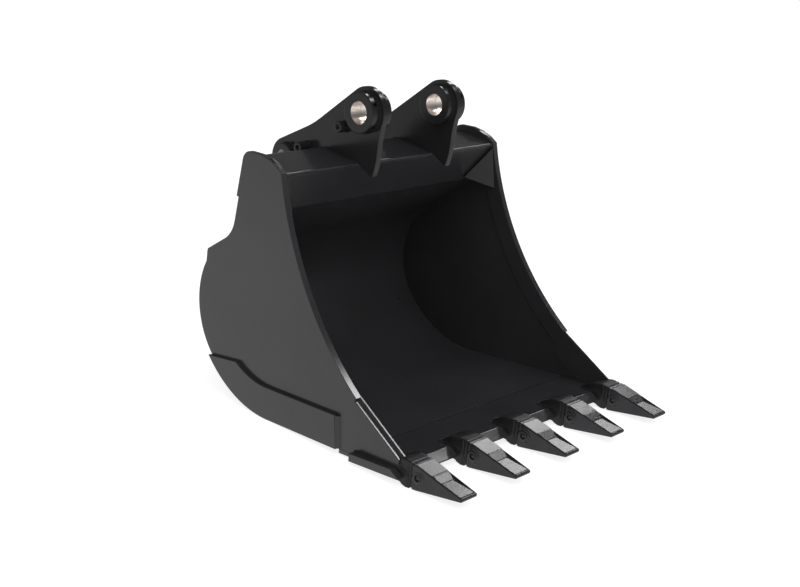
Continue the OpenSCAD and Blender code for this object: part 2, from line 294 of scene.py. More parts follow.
@dataclass(frozen=True)
class BoredMetal(Finish):
    """Freshly bored bush metal with fine turning marks across its axis."""

    colour: Colour
    haze: Colour
    pitch_mm: float = 1.1

    def sockets(self, graph: Graph, place: Value) -> dict[str, object]:
        """The marks are a wave along X, shaken a little by noise."""
        axis = graph.node("ShaderNodeSeparateXYZ", None, {0: place})[0]
        shake = graph.noise(place, 60.0, 2.0)
        turns = axis * (2 * math.pi / (self.pitch_mm * MM)) + shake * 3.0
        marks = graph.node("ShaderNodeMath", {"operation": "SINE"}, {0: turns})[0]
        tint = graph.noise(place, 22.0, 3.0).above(0.3, 0.75)
        return {
            "Base Color": graph.blend(tint, self.colour, self.haze),
            "Metallic": 1.0,
            "Roughness": 0.34 + (shake - 0.5) * 0.12,
            "Normal": graph.bump(marks * 0.5 + 0.5, 0.03, 0.5),
        }


SHELL_PAINT = Paint(
    "shell_enamel", (0.020, 0.020, 0.0215), (0.025, 0.025, 0.027), roughness=0.2, gloss=0.44
)
HITCH_PAINT = Paint(
    "hitch_enamel", (0.012, 0.012, 0.013), (0.015, 0.015, 0.016), roughness=0.2, gloss=0.28
)
INSIDE_PAINT = Paint("wrapper_enamel", (0.022, 0.022, 0.024), (0.028, 0.028, 0.031))
LIP_PAINT = Paint(
    "lip_enamel", (0.022, 0.022, 0.024), (0.028, 0.028, 0.030), roughness=0.13, gloss=0.5
)
BEAD_PAINT = Paint(
    "weld_enamel", (0.012, 0.012, 0.013), (0.016, 0.016, 0.017),
    roughness=0.45, gloss=0.15, peel_mm=0.12, peel_scale=380.0,
)
ADAPTER_PAINT = PaintedCasting(
    "adapter_enamel", (0.013, 0.013, 0.014), (0.019, 0.019, 0.020), gloss=0.25
)
TOOTH_PAINT = PaintedCasting(
    "tooth_enamel", (0.013, 0.013, 0.0145), (0.021, 0.020, 0.023), roughness=0.22, gloss=0.35
)
PIN_PAINT = Paint("pin_enamel", (0.02, 0.02, 0.021), (0.03, 0.03, 0.031), gloss=0.3)
BUSH_METAL = BoredMetal("bush_metal", (0.90, 0.80, 0.73), (0.95, 0.88, 0.83))


class Finishes:
    """Makes each finish's material once."""

    def __init__(self) -> None:
        """Starts with no material made."""
        self._made: dict[str, bpy.types.Material] = {}

    def get(self, finish: Finish) -> bpy.types.Material:
        """The material of a finish."""
        if finish.name not in self._made:
            self._made[finish.name] = finish.make()
        return self._made[finish.name]


FINISHES = Finishes()


# ---------------------------------------------------------------- plane outlines


def arc(
    centre: Sequence[float], radius: float, start: float, end: float, steps: int = 24
) -> Array:
    """Points on a circle from one angle in degrees to another, ends included."""
    angle = np.radians(np.linspace(start, end, steps + 1))
    return np.asarray(centre) + radius * np.stack([np.cos(angle), np.sin(angle)], -1)


def unit(vector: Array) -> Array:
    """The vector over its length."""
    return vector / np.linalg.norm(vector)


def left_of(vector: Array) -> Array:
    """The vector turned a quarter turn to the left."""
    return np.array([-vector[1], vector[0]])


def heading(degrees: float) -> Array:
    """Unit vector at an angle from the first axis."""
    return np.array([math.cos(math.radians(degrees)), math.sin(math.radians(degrees))])


def signed_area(outline: Array) -> float:
    """Half the sum of cross products round the outline: positive if it runs left."""
    ahead = np.roll(outline, -1, 0)
    return float(np.sum(outline[:, 0] * ahead[:, 1] - ahead[:, 0] * outline[:, 1]) / 2)


def turned_left(outline: Array) -> Array:
    """The outline, reversed if it runs right round its inside."""
    return outline if signed_area(outline) > 0 else outline[::-1]


def inset(outline: Array, distance: float) -> Array:
    """Moves each side of an outline to its left by a distance.

    A corner moves along the sum of its two sides' left normals over one plus
    their dot product, which keeps both sides parallel to where they were.

    Args:
        outline: closed outline, (n, 2).
        distance: how far each side moves.

    Returns:
        The moved outline, (n, 2).
    """
    ahead = np.roll(outline, -1, 0) - outline
    ahead /= np.maximum(np.linalg.norm(ahead, axis=1, keepdims=True), 1e-9)
    normal = np.stack([-ahead[:, 1], ahead[:, 0]], -1)
    before = np.roll(normal, 1, 0)
    spread = 1 + np.sum(normal * before, 1, keepdims=True)
    return outline + distance * (normal + before) / np.maximum(spread, 0.5)


def eased(outline: Array, reach: float | Sequence[float], steps: int = 4) -> Array:
    """Rounds each corner of a closed outline.

    A corner becomes the curve p + t^2 reach a + (1-t)^2 reach b, where a and b are
    unit vectors along its two sides, so it leaves each side in the side's direction.

    Args:
        outline: closed outline, (n, 2).
        reach: how far from a corner its curve starts, one for all or one each.
        steps: pieces in each curve.

    Returns:
        The rounded outline.
    """
    ahead = np.roll(outline, -1, 0) - outline
    behind = np.roll(outline, 1, 0) - outline
    long_ahead = np.linalg.norm(ahead, axis=1, keepdims=True)
    long_behind = np.linalg.norm(behind, axis=1, keepdims=True)
    near = np.broadcast_to(np.asarray(reach, float), (len(outline),))[:, None]
    near = np.minimum(near, 0.48 * np.minimum(long_ahead, long_behind))
    t = np.linspace(0, 1, steps + 1)[None, :, None]
    to_ahead = (ahead / long_ahead * near)[:, None]
    to_behind = (behind / long_behind * near)[:, None]
    return (outline[:, None] + t**2 * to_ahead + (1 - t) ** 2 * to_behind).reshape(-1, 2)


def smooth(value: Array) -> Array:
    """Cubic ease: 0 below 0, 1 above 1, and 3v^2 - 2v^3 between."""
    v = np.clip(value, 0, 1)
    return v * v * (3 - 2 * v)


# ---------------------------------------------------------------- mesh making


class Solid:
    """Gathers the points and faces of one piece, in millimetres."""

    def __init__(self) -> None:
        """Starts empty."""
        self._points: list[Array] = []
        self._faces: list[list[int]] = []
        self._count = 0

    def grid(self, points: Array, wrap_rows: bool = False, wrap_cols: bool = False) -> Array:
        """Adds a grid of four-sided faces.

        Args:
            points: (rows, columns, 3).
            wrap_rows: whether the last row joins the first.
            wrap_cols: whether the last column joins the first.

        Returns:
            Each point's index, (rows, columns).
        """
        rows, cols = points.shape[:2]
        index = np.arange(rows * cols).reshape(rows, cols) + self._count
        r = np.arange(rows if wrap_rows else rows - 1)[:, None]
        c = np.arange(cols if wrap_cols else cols - 1)[None, :]
        down, along = (r + 1) % rows, (c + 1) % cols
        quads = np.stack([index[r, c], index[r, along], index[down, along], index[down, c]], -1)
        self._points.append(points.reshape(-1, 3))
        self._faces.extend(quads.reshape(-1, 4).tolist())
        self._count += rows * cols
        return index

    def tube(self, rings: Array) -> None:
        """Adds a skin through closed rings, (rings, points, 3), and closes both ends."""
        index = self.grid(rings, wrap_cols=True)
        self.cap(index[0])
        self.cap(index[-1])

    def cap(self, ring: Array) -> None:
        """Closes a ring of point indices with one flat face."""
        self._faces.append(ring.tolist())

    def holed_cap(self, rings: Sequence[Array], flat: Sequence[Array]) -> None:
        """Closes the space between an outside ring and the holes in it.

        Args:
            rings: point indices of the outside ring and of each hole.
            flat: the same rings' points in the plane, (n, 2) each.
        """
        loops = [[Vector((*point, 0.0)) for point in ring] for ring in flat]
        joined = np.concatenate(rings)
        self._faces.extend(joined[list(face)].tolist() for face in tessellate_polygon(loops))

    def plate(
        self,
        outline: Array,
        low: float,
        high: float,
        place: Place,
        ease: float = 2.0,
        holes: Sequence[Array] = (),
    ) -> None:
        """Adds a plate with rounded edges.

        Every edge is a quarter circle: at the angle a the outline is moved in by
        ease (1 - sin a) and lies ease (1 - cos a) under the plate's face.

        Args:
            outline: [y, z] outline, (n, 2).
            low: depth of one face.
            high: depth of the other face.
            place: takes (..., 3) points of depth, y, z to where they belong.
            ease: radius of the rounded edges.
            holes: [y, z] outlines of the holes through the plate.
        """
        angle = np.radians(np.linspace(0, 90, 4))
        inward, rise = ease * (1 - np.sin(angle)), ease * (1 - np.cos(angle))
        depth = np.concatenate([low + rise, (high - rise)[::-1]])
        moved = np.concatenate([inward, inward[::-1]])
        loops = [turned_left(outline), *(turned_left(hole)[::-1] for hole in holes)]
        indices = []
        for loop in loops:
            flat = np.stack([inset(loop, step) for step in moved])
            indices.append(self.grid(place(at_depths(depth, flat)), wrap_cols=True))
        for layer in (0, -1):
            if holes:
                self.holed_cap(
                    [index[layer] for index in indices], [inset(loop, ease) for loop in loops]
                )
            else:
                self.cap(indices[0][layer])

    def turned(
        self, section: Array, centre: Sequence[float], place: Place, steps: int = 96
    ) -> None:
        """Adds a closed [x, radius] section turned about an axis along X.

        Args:
            section: closed outline of x and radius, (n, 2).
            centre: [y, z] of the axis.
            place: takes (..., 3) points to where they belong.
            steps: points round the axis.
        """
        angle = np.linspace(0, 2 * np.pi, steps, endpoint=False)[:, None]
        x, radius = section[:, 0][None], section[:, 1][None]
        points = np.stack(
            [
                np.broadcast_to(x, (steps, len(section))),
                centre[0] + radius * np.cos(angle),
                centre[1] + radius * np.sin(angle),
            ],
            -1,
        )
        self.grid(place(points), wrap_rows=True, wrap_cols=True)

    def bead(
        self, path: Array, up: Array, radius: float, pitch: float = 6.0, seed: int = 0
    ) -> None:
        """Adds a weld bead along a path.

        The bead is a tube whose radius is scaled by 1 + 0.1 cos(2 pi (s - lag) / pitch)
        with a lag that grows away from its crown, which gives the curved ripples of
        a weld, and by a slow random wander. It closes to a point at each end.

        Args:
            path: points along the seam, (n, 3).
            up: direction out of the seam, (3,) or (n, 3).
            radius: radius of the bead.
            pitch: length of one ripple.
            seed: start of the wander's random numbers.
        """
        gaps = np.linalg.norm(np.diff(path, axis=0), axis=1)
        station = np.concatenate([[0.0], np.cumsum(gaps)])
        count = max(6, int(station[-1] / (pitch / 5)))
        s = np.linspace(0, station[-1], count)
        line = np.stack([np.interp(s, station, path[:, k]) for k in range(3)], -1)
        ahead = np.gradient(line, axis=0)
        ahead /= np.linalg.norm(ahead, axis=1, keepdims=True)
        crown = np.broadcast_to(np.asarray(up, float), path.shape)
        crown = np.stack([np.interp(s, station, crown[:, k]) for k in range(3)], -1)
        crown = crown - np.sum(crown * ahead, 1, keepdims=True) * ahead
        crown /= np.linalg.norm(crown, axis=1, keepdims=True)
        flank = np.cross(ahead, crown)
        angle = np.linspace(0, 2 * np.pi, 10, endpoint=False)[None, :]
        lag = 0.45 * radius * (1 - np.cos(angle))
        draw = np.random.default_rng(seed)
        wander = np.interp(s, np.linspace(0, station[-1], 2 + count // 12),
                           draw.uniform(-0.07, 0.07, 2 + count // 12))[:, None]
        close = np.sqrt(np.clip(np.minimum(s, station[-1] - s) / radius, 1e-4, 1))[:, None]
        ripple = 1 + 0.1 * np.cos(2 * np.pi * (s[:, None] - lag) / pitch) + wander
        size = (radius * close * ripple)[..., None]
        ring = np.cos(angle)[..., None] * crown[:, None] + np.sin(angle)[..., None] * flank[:, None]
        self.tube(line[:, None] + size * ring)

    def finish(
        self,
        name: str,
        finish: Finish,
        slot: str,
        nodes: Sequence[str] = (),
        sharp: float = SHARP,
        even: bool = True,
    ) -> bpy.types.Object:
        """Makes the object, dresses it and puts it on the bucket's body.

        Args:
            name: name of the piece.
            finish: its finish.
            slot: the record's material slot; not used.
            nodes: CAD nodes that the piece stands for.
            sharp: angle in degrees over which an edge stays sharp.
            even: whether large faces rule the normals of the rounded edges.

        Returns:
            The object.
        """
        mesh = bpy.data.meshes.new(name)
        points = np.concatenate(self._points) * MM
        mesh.from_pydata(points.tolist(), [], self._faces)
        work = bmesh.new()
        work.from_mesh(mesh)
        bmesh.ops.remove_doubles(work, verts=work.verts, dist=0.004 * MM)
        bmesh.ops.dissolve_degenerate(work, dist=0.001 * MM, edges=work.edges)
        bmesh.ops.recalc_face_normals(work, faces=work.faces)
        work.to_mesh(mesh)
        work.free()
        return publish(mesh, name, finish, nodes, sharp, even)


def publish(
    mesh: bpy.types.Mesh,
    name: str,
    finish: Finish,
    nodes: Sequence[str],
    sharp: float,
    even: bool,
) -> bpy.types.Object:
    """Puts a finished mesh in the scene as a piece of the bucket.

    Args:
        mesh: the mesh, in metres and in place.
        name: name of the piece.
        finish: its finish.
        nodes: CAD nodes that the piece stands for.
        sharp: angle in degrees over which an edge stays sharp.
        even: whether large faces rule the normals of the rounded edges.

    Returns:
        The object.
    """
    mesh.shade_smooth()
    mesh.set_sharp_from_angle(angle=math.radians(sharp))
    mesh.materials.clear()
    mesh.materials.append(FINISHES.get(finish))
    piece = bpy.data.objects.new(name, mesh)
    bpy.context.scene.collection.objects.link(piece)
    if even:
        modifier = piece.modifiers.new("even_normals", "WEIGHTED_NORMAL")
        modifier.keep_sharp = True
    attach(piece, BODY)
    if nodes:
        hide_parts(*nodes)
    log.info("%s: %d faces, finish %s", name, len(mesh.polygons), finish.name)
    return piece


def eased_copy(
    node: str, name: str, finish: Finish, ease: float
) -> bpy.types.Object:
    """A copy of a flat-sided CAD node with its edges rounded.

    Args:
        node: the CAD node.
        name: name of the piece.
        finish: its finish.
        ease: radius of the rounded edges.

    Returns:
        The object.
    """
    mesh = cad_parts[node].data.copy()
    work = bmesh.new()
    work.from_mesh(mesh)
    bmesh.ops.remove_doubles(work, verts=work.verts, dist=0.01 * MM)
    bmesh.ops.dissolve_limit(
        work, angle_limit=math.radians(0.5), verts=work.verts, edges=work.edges
    )
    bmesh.ops.recalc_face_normals(work, faces=work.faces)
    work.to_mesh(mesh)
    work.free()
    piece = publish(mesh, name, finish, [node], SHARP, False)
    bevel = piece.modifiers.new("rounded_edges", "BEVEL")
    bevel.width = ease * MM
    bevel.segments = 3
    bevel.limit_method = "ANGLE"
    bevel.angle_limit = math.radians(25)
    even = piece.modifiers.new("even_normals", "WEIGHTED_NORMAL")
    even.keep_sharp = True
    return piece


def as_is(points: Array) -> Array:
    """Leaves points where they are."""
    return points


def sided(side: Side) -> Place:
    """Puts points that are worked out for the right-hand side on a side."""
    return lambda points: points * np.array([side.value, 1.0, 1.0])


def at_x(x: float, path: Array) -> Array:
    """Puts an x, or a depth, before every [y, z] point."""
    return np.insert(path, 0, x, axis=-1)


def at_depths(depths: Array, outlines: Array) -> Array:
    """Puts an outline, or one each, at every depth, as (depths, points, 3)."""
    outlines = np.broadcast_to(outlines, (len(depths), *outlines.shape[-2:]))
    across = np.broadcast_to(depths[:, None, None], (*outlines.shape[:2], 1))
    return np.concatenate([across, outlines], -1)


# ---------------------------------------------------------------- shell


@dataclass(frozen=True)
class ShellLines:
    """The lines that the shell's plates share, as [y, z] points and radii.

    The edge's outer and inner entries are the angles where its two arcs start and end.
    """

    half_w: float = 592.0
    lean: float = 1.72
    side_t: float = 20.0
    edge_t: float = 25.0
    edge_w: float = 70.0
    wrap_t: float = 18.0
    floor_z: float = -1110.0
    heel_r: float = 460.0
    back_r: float = 290.0
    floor_slope: float = 3.0
    join: float = -38.6
    back_top: float = 53.0
    wall_len: float = 325.0
    lip_slope: float = 4.0
    lip_t: float = 30.0
    lip_lap: float = 80.0
    edge_r: float = 1145.0
    edge_outer: Spot = (-52.96, -11.3)
    edge_inner: Spot = (-8.77, -53.31)
    kink: Spot = (-408.0, -878.0)
    edge_c: Spot = (-1097.0, 35.0)
    lip_rear: Spot = (-415.0, -1069.0)
    blade_foot: Spot = (-633.0, -1014.0)

    @property
    def heel_c(self) -> Array:
        """Centre of the heel's arc."""
        return np.array([69.0, self.floor_z + self.heel_r])

    @property
    def back_c(self) -> Array:
        """Centre of the back's arc, on the line through the heel's centre."""
        return self.heel_c + (self.heel_r - self.back_r) * heading(self.join)

    @property
    def floor_angle(self) -> float:
        """Angle at which the heel's arc meets the floor."""
        return -90.0 - self.floor_slope

    @property
    def blade_in(self) -> Array:
        """Unit vector from a side blade's front edge into the side."""
        way = unit(np.array(self.blade_foot) - np.array(self.kink))
        return left_of(way)

    def lip_top(self, y: float | Array) -> float | Array:
        """Height of the lip's top at y."""
        return self.lip_rear[1] + (self.lip_rear[0] - y) * math.tan(math.radians(self.lip_slope))

    def lip_bottom(self, y: float | Array) -> float | Array:
        """Height of the lip's underside at y."""
        return self.lip_top(y) - self.lip_t / math.cos(math.radians(self.lip_slope))

    def floor_out(self, y: float | Array) -> float | Array:
        """Height of the floor's outside face at y."""
        foot = self.heel_c + self.heel_r * heading(self.floor_angle)
        return foot[1] + (foot[0] - y) * math.tan(math.radians(self.floor_slope))

    def inner_half(self, y: Array) -> Array:
        """Half of the gap between the side plates at y."""
        slope = math.tan(math.radians(self.lean))
        return self.half_w - self.side_t - (y - self.kink[0]) * slope

    def in_side(self, side: Side) -> Place:
        """Places points of depth, y and z in the leaning plane of a side.

        Depth 0 is the side's outside face and grows towards the inside. The
        plane turns about the upright line through the kink by the lean.
        """
        turn = math.radians(self.lean)
        sine, cosine = math.sin(turn), math.cos(turn)

        def place(points: Array) -> Array:
            depth, along = -points[..., 0], points[..., 1] - self.kink[0]
            x = self.half_w + depth * cosine - along * sine
            y = self.kink[0] + depth * sine + along * cosine
            return np.stack([x * side.value, y, points[..., 2]], -1)

        return place

    def across(self, points: Array) -> Array:
        """Spreads points of x from -1 to 1 over the gap between the side plates."""
        x = points[..., 0] * self.inner_half(points[..., 1])
        return np.stack([x, points[..., 1], points[..., 2]], -1)

    def over_all(self, points: Array) -> Array:
        """Spreads points of x from -1 to 1 over the shell's whole width."""
        x = points[..., 0] * (self.inner_half(points[..., 1]) + self.side_t)
        return np.stack([x, points[..., 1], points[..., 2]], -1)


LINES = ShellLines()


@dataclass(frozen=True)
class TopBox:
    """The box beam along the bucket's top: deck, flange, throat and rear skin."""

    front: Spot = (28.0, -192.0)
    rear: Spot = (216.0, -167.0)
    bend_r: float = 28.0
    panel_t: float = 12.0
    flange_angle: float = 12.0
    flange_len: float = 132.0
    throat_t: float = 16.0
    skin_lap: float = 28.0
    skin_len: float = 180.0
    throat_tilt: float = 25.0
    ledge_in: Spot = (330.0, -486.0)
    ledge_out: Spot = (440.0, -550.0)
    ledge_t: float = 14.0

    @property
    def deck_down(self) -> Array:
        """Unit vector from the deck's top into the plate."""
        return left_of(unit(np.array(self.front) - np.array(self.rear)))

    @property
    def bend_c(self) -> Array:
        """Centre of the bend."""
        return np.array(self.rear) + self.deck_down * self.bend_r

    @property
    def bend_top(self) -> float:
        """Angle at which the bend meets the deck."""
        up = -self.deck_down
        return math.degrees(math.atan2(up[1], up[0]))

    @property
    def flange_down(self) -> Array:
        """Unit vector down the flange."""
        return heading(self.flange_angle - 90)

    @property
    def flange_foot(self) -> Array:
        """Lower outside corner of the flange."""
        return self.bend_c + heading(self.flange_angle) * self.bend_r + self.flange_down * self.flange_len

    @property
    def skin_step(self) -> Array:
        """Lower inside corner of the flange, where the rear skin comes out."""
        return self.flange_foot - heading(self.flange_angle) * self.panel_t

    def bent_section(self) -> Array:
        """Outline of the bent top panel."""
        out = arc(self.bend_c, self.bend_r, self.flange_angle, self.bend_top, 14)
        inner = arc(self.bend_c, self.bend_r - self.panel_t, self.bend_top, self.flange_angle, 14)
        front = np.array(self.front)
        return np.concatenate([
            [self.flange_foot], out, [front, front + self.deck_down * self.panel_t],
            inner, [self.skin_step],
        ])


TOP = TopBox()


@dataclass(frozen=True)
class Shell:
    """The welded shell: wrapper, side plates, heel wear plates and the top box."""

    lines: ShellLines = LINES
    top: TopBox = TOP
    shoulder_c: Spot = (200.0, -187.0)
    shoulder_r: float = 44.5
    waist_c: Spot = (404.0, -385.5)
    waist_r: float = 124.0
    hip_c: Spot = (432.0, -562.0)
    hip_r: float = 12.0
    wear_t: float = 16.0
    wear_h: float = 125.0
    seam: float = 2.5

    def wrapper_face(self, depth: float) -> Array:
        """One face of the wrapper's section, from the lip round to the throat."""
        line = self.lines
        slope = math.cos(math.radians(line.floor_slope))
        front_y = line.lip_rear[0] + self.seam
        wall_start = line.back_c + (line.back_r - depth) * heading(line.back_top)
        wall = wall_start + line.wall_len * heading(line.back_top + 90)
        return np.concatenate([
            [[front_y, line.floor_out(front_y) + depth / slope]],
            arc(line.heel_c, line.heel_r - depth, line.floor_angle, line.join, 48),
            arc(line.back_c, line.back_r - depth, line.join, line.back_top, 64)[1:],
            [wall],
        ])

    def side_outline(self, hidden: float) -> Array:
        """Outline of a side plate, whose front runs on under the edge bar.

        Args:
            hidden: how far the front is held back from the bucket's edge.

        Returns:
            The outline, (n, 2).
        """
        line, top = self.lines, self.top
        lap_y = line.lip_rear[0] + line.lip_lap
        back = line.blade_in * hidden
        foot = np.array(line.blade_foot) + back
        return np.concatenate([
            [[25 + hidden, -181.0], [60, -166], [100, -151], [142, -142.5]],
            arc(self.shoulder_c, self.shoulder_r, 90, top.flange_angle, 14),
            [top.flange_foot, top.skin_step],
            arc(self.waist_c, self.waist_r, 192, 239.8, 18),
            arc(self.hip_c, self.hip_r, 60, 0, 6),
            arc(line.back_c, line.back_r, 33, line.join, 48)[1:],
            arc(line.heel_c, line.heel_r, line.join, line.floor_angle, 48)[1:],
            [
                [lap_y, line.floor_out(lap_y)],
                [line.lip_rear[0], line.floor_out(line.lip_rear[0])],
                line.lip_rear,
                [foot[0], line.lip_top(foot[0])],
                foot,
            ],
            arc(line.edge_c, line.edge_r + hidden, *line.edge_outer, 60),
        ])

    def wear_outline(self) -> Array:
        """Outline of a heel wear plate, rounded at its corners."""
        line = self.lines
        front_y = line.lip_rear[0] + line.lip_lap + 6
        inner = line.heel_r - self.wear_h
        start = line.heel_c + inner * heading(line.floor_angle)
        rise = (start[0] - front_y) * math.tan(math.radians(line.floor_slope))
        return np.concatenate([
            arc(line.heel_c, line.heel_r, -43, line.floor_angle, 40),
            [[front_y, line.floor_out(front_y)], [front_y + 8, start[1] + rise]],
            arc(line.heel_c, inner, line.floor_angle, -60, 30),
        ])

    def build(self) -> None:
        """Builds every plate of the shell and the welds between them."""
        self._wrapper()
        self._sides()
        self._top_box()
        self._gussets()
        self._welds()

    def _wrapper(self) -> None:
        """The curved wrapper, as wide as the gap between the side plates."""
        outline = np.concatenate([self.wrapper_face(0), self.wrapper_face(self.lines.wrap_t)[::-1]])
        solid = Solid()
        solid.tube(self.lines.across(at_depths(np.linspace(-1, 1, 41), outline)))
        solid.finish("wrapper_sheet", INSIDE_PAINT, "shell_paint", ["wrapper"])

    def _sides(self) -> None:
        """Side plates and heel wear plates."""
        for side in Side:
            place = self.lines.in_side(side)
            solid = Solid()
            solid.plate(self.side_outline(12.0), 0.2, self.lines.side_t, place)
            solid.finish(
                f"side_sheet_{side.word}", SHELL_PAINT, "shell_paint",
                [f"side_plate_{side.word}"],
            )
            solid = Solid()
            solid.plate(self.wear_outline(), -self.wear_t, 0.4, place, 3.0)
            solid.finish(
                f"heel_plate_{side.word}", SHELL_PAINT, "shell_paint",
                [f"wear_plate_{side.word}"],
            )

    def _strip(self, name: str, outline: Array, node: str, ease: float = 1.5) -> None:
        """Adds a plate that fills the gap between the sides."""
        solid = Solid()
        turned = turned_left(outline)
        rings = np.stack([inset(turned, ease), turned, turned, inset(turned, ease)])
        solid.tube(self.lines.across(at_depths(np.array([-1.0, -0.998, 0.998, 1.0]), rings)))
        solid.finish(name, SHELL_PAINT, "shell_paint", [node])

    def _top_box(self) -> None:
        """The bent top panel, throat plate, rear skin and ledge."""
        top, line = self.top, self.lines
        section = top.bent_section()
        reach = np.zeros(len(section))
        reach[[0, -1]] = 2.5
        reach[16:18] = 6.0
        self._strip("top_deck", eased(section, reach, 3), "top_panel")
        wall = self.wrapper_face(0)[-1]
        foot = self.wrapper_face(line.wrap_t)[-1]
        head = np.array(top.front) + top.deck_down * top.panel_t
        back = top.throat_t * heading(top.throat_tilt)
        throat = eased(np.array([foot, wall, head + back, head]), 1.5)
        self._strip("throat_sheet", throat, "throat_plate")
        start = top.skin_step - top.flange_down * top.skin_lap
        inward = -heading(top.flange_angle) * top.throat_t
        end = start + top.flange_down * top.skin_len
        self._strip("rear_sheet", np.array([start, start + inward, end + inward, end]), "rear_skin")
        inner, outer = np.array(top.ledge_in), np.array(top.ledge_out)
        under = left_of(unit(inner - outer)) * top.ledge_t
        ledge = np.array([outer, inner, inner + under, outer + under])
        self._strip("ledge_sheet", eased(ledge, [3.0, 0.1, 0.1, 3.0]), "ledge_plate")

    def _gussets(self) -> None:
        """The flat triangular gussets in the throat's corners."""
        for side in Side:
            eased_copy(
                f"corner_gusset_{side.word}", f"throat_gusset_{side.word}",
                SHELL_PAINT, 2.5,
            )

    def _welds(self) -> None:
        """Beads along the shell's seams, and the wear plates' fillets."""
        line, top = self.lines, self.top
        for side in Side:
            place = line.in_side(side)
            solid = Solid()
            inside = self.wrapper_face(line.wrap_t)[1:-1]
            middle = np.array([-side.value * 0.5, 0.0, 0.0])
            toward = at_x(0.0, line.back_c - inside)
            toward /= np.linalg.norm(toward, axis=1, keepdims=True)
            solid.bead(place(at_x(line.side_t, inside)), toward + middle, 3.0, seed=3)
            solid.finish(f"side_welds_{side.word}", BEAD_PAINT, "shell_paint", even=False)
            self._wear_fillet(side)
        solid = Solid()
        y, z = top.flange_foot - heading(top.flange_angle) * top.panel_t
        gap = line.inner_half(np.array([y]))[0]
        solid.bead(np.array([[-gap, y, z], [gap, y, z]]), (0, 1, -1), 3.0, seed=7)
        solid.finish("shell_welds", BEAD_PAINT, "shell_paint", even=False)

    def _wear_fillet(self, side: Side) -> None:
        """A flat fillet that blends a wear plate's upright front edge into the side."""
        rows, sunk, lap = 12, 0.2, 1.0
        foot, head = self.wear_outline()[41:43]
        low, high = foot + [0.0, 3.0], head - [0.0, 4.0]
        spine = low + (high - low) * np.linspace(0, 1, rows)[:, None]
        size = self.wear_t - 1.5
        corner = np.array([
            [sunk, lap, 0.0], [-size, lap, 0.0], [-size * 0.45, -size * 0.62, 0.0],
            [sunk, -size, 0.0],
        ])
        solid = Solid()
        solid.tube(self.lines.in_side(side)(at_x(0.0, spine)[:, None] + corner))
        solid.finish(f"wear_fillet_{side.word}", SHELL_PAINT, "shell_paint", sharp=60.0)


# ---------------------------------------------------------------- cutting edges


@dataclass(frozen=True)
class CuttingEdges:
    """The lip plate, the side blades and the edge bars."""

    lines: ShellLines = LINES
    lip_half_w: float = 622.0
    lip_front: float = -648.0
    land: float = 6.0
    bevel: float = 38.0

    def lip_outline(self) -> Array:
        """Section of the lip plate in front of the wrapper."""
        line = self.lines
        rear = line.lip_rear[0]
        bevel_y = self.lip_front + self.bevel
        low = line.lip_bottom(self.lip_front)
        return np.array([
            line.lip_rear,
            [bevel_y, line.lip_top(bevel_y)],
            [self.lip_front, low + self.land],
            [self.lip_front, low],
            [rear, line.lip_bottom(rear)],
        ])

    def lap_outline(self) -> Array:
        """Section of the part of the lip plate that runs on under the wrapper."""
        line = self.lines
        front, rear = line.lip_rear[0] - 1, line.lip_rear[0] + line.lip_lap
        return np.array([
            [front, line.floor_out(front)], [front, line.lip_bottom(front)],
            [rear, line.lip_bottom(rear)], [rear, line.floor_out(rear)],
        ])

    def edge_outline(self) -> Array:
        """Outline of an edge bar between its outer and inner arcs."""
        line = self.lines
        outer = arc(line.edge_c, line.edge_r, *line.edge_outer, 90)
        inner = arc(line.edge_c, line.edge_r + line.edge_w, *line.edge_inner, 90)
        return np.concatenate([outer, [[60, -166], [100, -151]], inner])

    def build(self) -> None:
        """Builds the lip, the bars and the blades."""
        solid = Solid()
        outline = eased(self.lip_outline(), [0.4, 2.0, 2.0, 3.0, 1.0])
        solid.plate(outline, -self.lip_half_w, self.lip_half_w, as_is, 2.0)
        lap = turned_left(self.lap_outline())
        solid.tube(self.lines.over_all(at_depths(np.array([-1.0, 1.0]), lap)))
        solid.finish("lip_bar", LIP_PAINT, "lip_paint", ["lip_plate"])
        for side in Side:
            place = self.lines.in_side(side)
            solid = Solid()
            solid.plate(self.edge_outline(), 0.0, self.lines.edge_t, place, 1.2)
            solid.finish(
                f"side_bar_{side.word}", SHELL_PAINT, "shell_paint", [f"edge_bar_{side.word}"]
            )
            eased_copy(
                f"side_blade_{side.word}", f"side_cutter_{side.word}",
                SHELL_PAINT, 0.25,
            )
        self._welds()

    def _welds(self) -> None:
        """Beads where the bars, the blades and the lip meet the shell."""
        line = self.lines
        for side in Side:
            place = line.in_side(side)
            solid = Solid()
            inner = arc(line.edge_c, line.edge_r + line.edge_w, -9.2, -53.0, 90)
            away = np.array([-side.value, 0.3, 0.0])
            solid.bead(place(at_x(line.side_t, inner)), away, 2.5, seed=11)
            seam = np.linspace(line.blade_foot[0] + 6, line.lip_rear[0] + 4, 8)
            for depth_at, toward, seed in ((0.0, 1.0, 12), (line.edge_t, -1.0, 13)):
                run = seam[seam > -600] if depth_at == 0.0 else seam
                flat = np.stack([np.full_like(run, depth_at), run, line.lip_top(run)], -1)
                out = np.array([toward * side.value, 0.0, 1.0])
                solid.bead(place(flat), out, 6.0, 8.0, seed=seed)
            solid.finish(f"edge_welds_{side.word}", BEAD_PAINT, "shell_paint", even=False)


# ---------------------------------------------------------------- hitch


@dataclass(frozen=True)
class PinLine:
    """A machine pin's line through the ears, with the [y, z] of its keeper collar.

    The span runs from the inside boss's face to the outside boss's face.
    """

    name: str
    centre: Spot
    collar: Spot
    span: Spot
    bore_r: float
    bush_r: float
    boss_r: float


